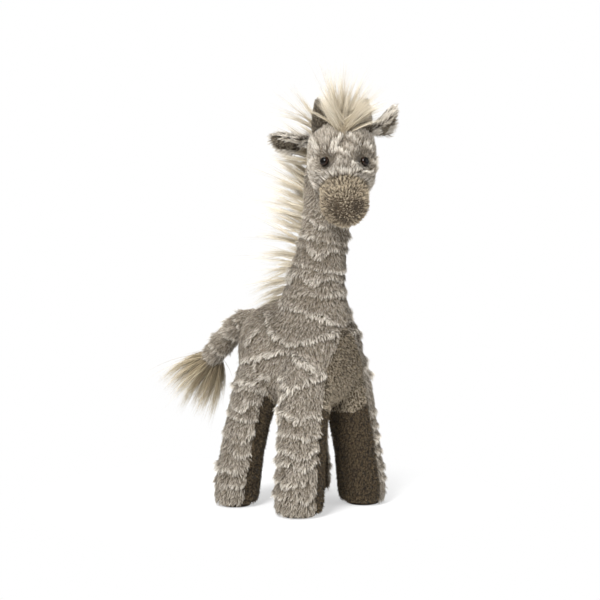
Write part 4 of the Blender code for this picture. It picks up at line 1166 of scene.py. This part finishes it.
def build_nape(tree):
    """Locks on the back of the head, from the neck's mane up to the forelock."""
    back = unit(across(HEAD_CENTRE - NOSE, UP))
    centre = HEAD_CENTRE + UP * 0.010 + back * 0.008
    locks = []
    for seat_rise, seat_turn, lift, length in NAPE_LOCKS:
        for small in (False, True, True, True, True):
            rise = math.radians(seat_rise + (rng.normal(0, 6) if small else 0))
            turn = math.radians(seat_turn + (rng.normal(0, 9) if small else 0))
            way = turned(turned(back, -FACE_ASIDE, turn), UP, rise)
            place = first_hit(tree, centre, way) - way * 0.0025
            lean = math.radians(lift + rng.normal(0, 5))
            swing_turn = turn + math.radians(rng.normal(16, 8))
            end = turned(turned(back, -FACE_ASIDE, swing_turn), UP, lean)
            spans = (FACE_ASIDE * (0.0013 if small else 0.0026), UP * (0.0010 if small else 0.0022), back * 0.0012)
            own = length * MM * (rng.uniform(0.72, 1.06) if small else 0.95)
            locks.append((place, spans, end + way * 0.5, end, own, 15 if small else 44, rng.normal(0.55, 0.12)))
    hair("nape_hair", "nape_mane", locks, gather=0.9)


# The forelock: short locks in its fan, then the angle from upright in degrees and length in millimetres of its
# long wisps, the way from the head's middle to the wisps behind the right horn, in the head's frame, and the
# height of the highest tips
FAN_LOCKS = 78
WISPS = ((-76, 60), (-66, 56), (-56, 64), (-41, 64), (-30, 56), (-23, 60), (-16, 68), (-8, 66), (-1, 58), (7, 62),
         (14, 54), (22, 58), (30, 66), (38, 54), (46, 54), (58, 50), (70, 42))
BEHIND_HORN = np.array((-0.014, 0.002, -0.045))
HAIR_TOP = 0.447


def build_forelock(tree):
    """A dense fan between the horns with long thin wisps above it."""
    seat = unit(node_centre("forelock") - HEAD_CENTRE)
    front = unit(across(NOSE - HEAD_CENTRE, UP))
    between_horns = first_hit(tree, HEAD_CENTRE, seat) - HEAD_CENTRE

    def lock(angle, forward, length, count, spans, pale):
        aside = rng.normal(0, 0.0026) + 0.00006 * angle
        ahead = rng.normal(-0.003, 0.0055) if abs(angle) < 30 else rng.normal(0.003, 0.0025)
        behind = angle < -35 and length > 50
        seated = BEHIND_HORN @ (FACE_ASIDE, FACE_UP, NOSE_WAY) if behind else between_horns
        place = first_hit(tree, HEAD_CENTRE, seated + FACE_ASIDE * aside + front * ahead) - seat * 0.002
        end = turned(UP, FACE_ASIDE, math.radians(angle)) + front * forward
        return place, spans, end + seat * 0.3 + front * 0.1, end, length * MM, count, pale

    locks = []
    for _ in range(FAN_LOCKS):
        angle = rng.uniform(-47, 68)
        length = 30 + 8 * abs(math.sin(math.radians(angle))) + rng.normal(0, 4)
        forward = rng.normal(0.02, 0.40) if abs(angle) < 30 else rng.normal(0.34, 0.12)
        locks.append(lock(angle, forward, length, 42, (FACE_ASIDE * 0.0038, front * 0.0030),
                          rng.normal(0.46, 0.20)))
    for angle, length in WISPS:
        for _ in range(3):
            locks.append(lock(angle + rng.normal(0, 3.0), rng.normal(-0.04, 0.26), length * rng.uniform(0.84, 1.12),
                              20 if angle > -35 else 12, (FACE_ASIDE * 0.0019, front * 0.0014),
                              rng.normal(0.25, 0.14)))
    hair("forelock_hair", "forelock", locks, ceiling=HAIR_TOP)


TUFT_LOCKS = 34
TUFT_RADIUS = 0.0068
TUFT_SAG = np.array((0, 0.22, -0.43))
# Share of a turn from lock to lock, which spreads them evenly
GOLDEN_SHARE = 0.618


def build_tuft():
    """The tail's brush, which fans out from the end seam and sags."""
    end = drooped(TAIL_ROOT + TAIL_WAY * (TAIL_REACH - 0.003))
    u = unit(np.cross(TAIL_WAY, UP))
    v = np.cross(u, TAIL_WAY)
    locks = []
    for i in range(TUFT_LOCKS):
        away = math.sqrt((i + 0.5) / TUFT_LOCKS)
        radial = turned(u, v, 2 * math.pi * (i * GOLDEN_SHARE % 1))
        length = (69 + rng.normal(0, 5)) * MM
        # Painted shade: the middle locks of the brush are darker and those at its rim paler.
        locks.append((end + radial * away * TUFT_RADIUS, (u * 0.0030, v * 0.0030), TAIL_WAY + radial * 0.95 * away,
                      TAIL_WAY + radial * 0.66 * away + 1.8 * TUFT_SAG, length, 96,
                      limit(rng.normal(0.20, 0.18) + 0.30 * away ** 2)))
    hair("tail_tuft_hair", "tail_tuft", locks, "tuft", TUFT_HAIR_WIDTH, fray=0.042)


# Floor, light and camera

FLOOR_HALF = 3.0
FLOOR_PAINT = 0.9
# Radius where the white starts and where it is full, and its share at each
SHADOW_FADE = {"From Min": 0.11, "From Max": 0.25, "To Min": 0.50, "To Max": 1.0}
WORLD_LIGHT = 0.42
LIGHT_AIM = Vector((0, -0.04, 0.2))
# Name, direction from the toy, distance, size and power of each soft lamp
LAMPS = (
    ("key", (-1.05, -0.45, 1.0), 1.6, 0.6, 36),
    ("fill", (0.45, -1.0, 0.45), 1.8, 1.4, 10),
    ("top", (0.1, 0.2, 1.0), 1.5, 1.2, 11),
)


def build_floor():
    """A pale floor that keeps the toy's shadow and turns plain white away from it."""
    corners = np.array([(-1, -1, 0), (1, -1, 0), (1, 1, 0), (-1, 1, 0)]) * FLOOR_HALF
    mesh = new_mesh("floor", corners, np.array([(0, 1, 2, 3)]))
    floor = linked("floor", mesh)
    paint, tree, shader = shaded("floor_paint", 0.9, 0.1)
    tune(shader, {"Base Color": (FLOOR_PAINT, FLOOR_PAINT, FLOOR_PAINT, 1)})
    away = new_node(tree, "VectorMath", operation="LENGTH")
    join(new_node(tree, "TexCoord"), "Object", away, 0)
    fade = new_node(tree, "MapRange", interpolation_type="SMOOTHSTEP")
    tune(fade, SHADOW_FADE)
    join(away, "Value", fade, "Value")
    seen = new_node(tree, "Math", operation="MULTIPLY")
    join(new_node(tree, "LightPath"), "Is Camera Ray", seen, 0)
    join(fade, "Result", seen, 1)
    mix = new_node(tree, "MixShader")
    join(seen, "Value", mix, 0)
    join(shader, "BSDF", mix, 1)
    join(new_node(tree, "Emission"), "Emission", mix, 2)
    join(mix, "Shader", tree.nodes["Material Output"], "Surface")
    mesh.materials.append(paint)


def build_world():
    """Even light on the toy, and plain white where the camera sees past the floor."""
    world = bpy.data.worlds.new("studio")
    bpy.context.scene.world = world
    world.use_nodes = True
    tree = world.node_tree
    background = tree.nodes["Background"]
    tune(background, {"Color": (1, 1, 1, 1)})
    strength = new_node(tree, "MapRange")
    tune(strength, {"To Min": WORLD_LIGHT, "To Max": 1.0})
    join(new_node(tree, "LightPath"), "Is Camera Ray", strength, "Value")
    join(strength, "Result", background, "Strength")


def aimed(name, data, place, target):
    """A new object that looks from a place at a target."""
    obj = linked(name, data)
    obj.location = place
    obj.rotation_mode = "QUATERNION"
    obj.rotation_quaternion = (target - obj.location).to_track_quat("-Z", "Y")
    return obj


def build_lights():
    for name, way, distance, size, power in LAMPS:
        data = bpy.data.lights.new(name, "AREA")
        data.shape = "DISK"
        data.size = size
        data.energy = power
        aimed(name, data, LIGHT_AIM + Vector(way).normalized() * distance, LIGHT_AIM)


def build_camera():
    turn = math.radians(CAMERA_TURN_DEG)
    feet = Vector(FEET)
    data = bpy.data.cameras.new("camera")
    data.lens = CAMERA_LENS
    data.sensor_width = CAMERA_SENSOR
    data.shift_x = CAMERA_SHIFT
    data.clip_start = 0.05
    way = Vector((math.sin(turn), -math.cos(turn), 0))
    place = feet + way * CAMERA_DISTANCE + Vector((0, 0, CAMERA_HEIGHT))
    bpy.context.scene.camera = aimed("camera", data, place, feet + Vector((0, 0, CAMERA_AIM_HEIGHT)))


def main():
    build_camera()
    build_floor()
    build_world()
    build_lights()
    build_body()
    build_soles()
    build_head()
    build_tail()
    build_horns()
    build_ears()
    build_eyes()
    build_neck_mane()
    surface = surface_tree(*remeshed(HEAD_NODES, SEAT_VOXEL, 6))
    build_nape(surface)
    build_forelock(surface)
    build_tuft()
    bpy.context.scene.view_settings.view_transform = "Standard"
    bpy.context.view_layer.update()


main()
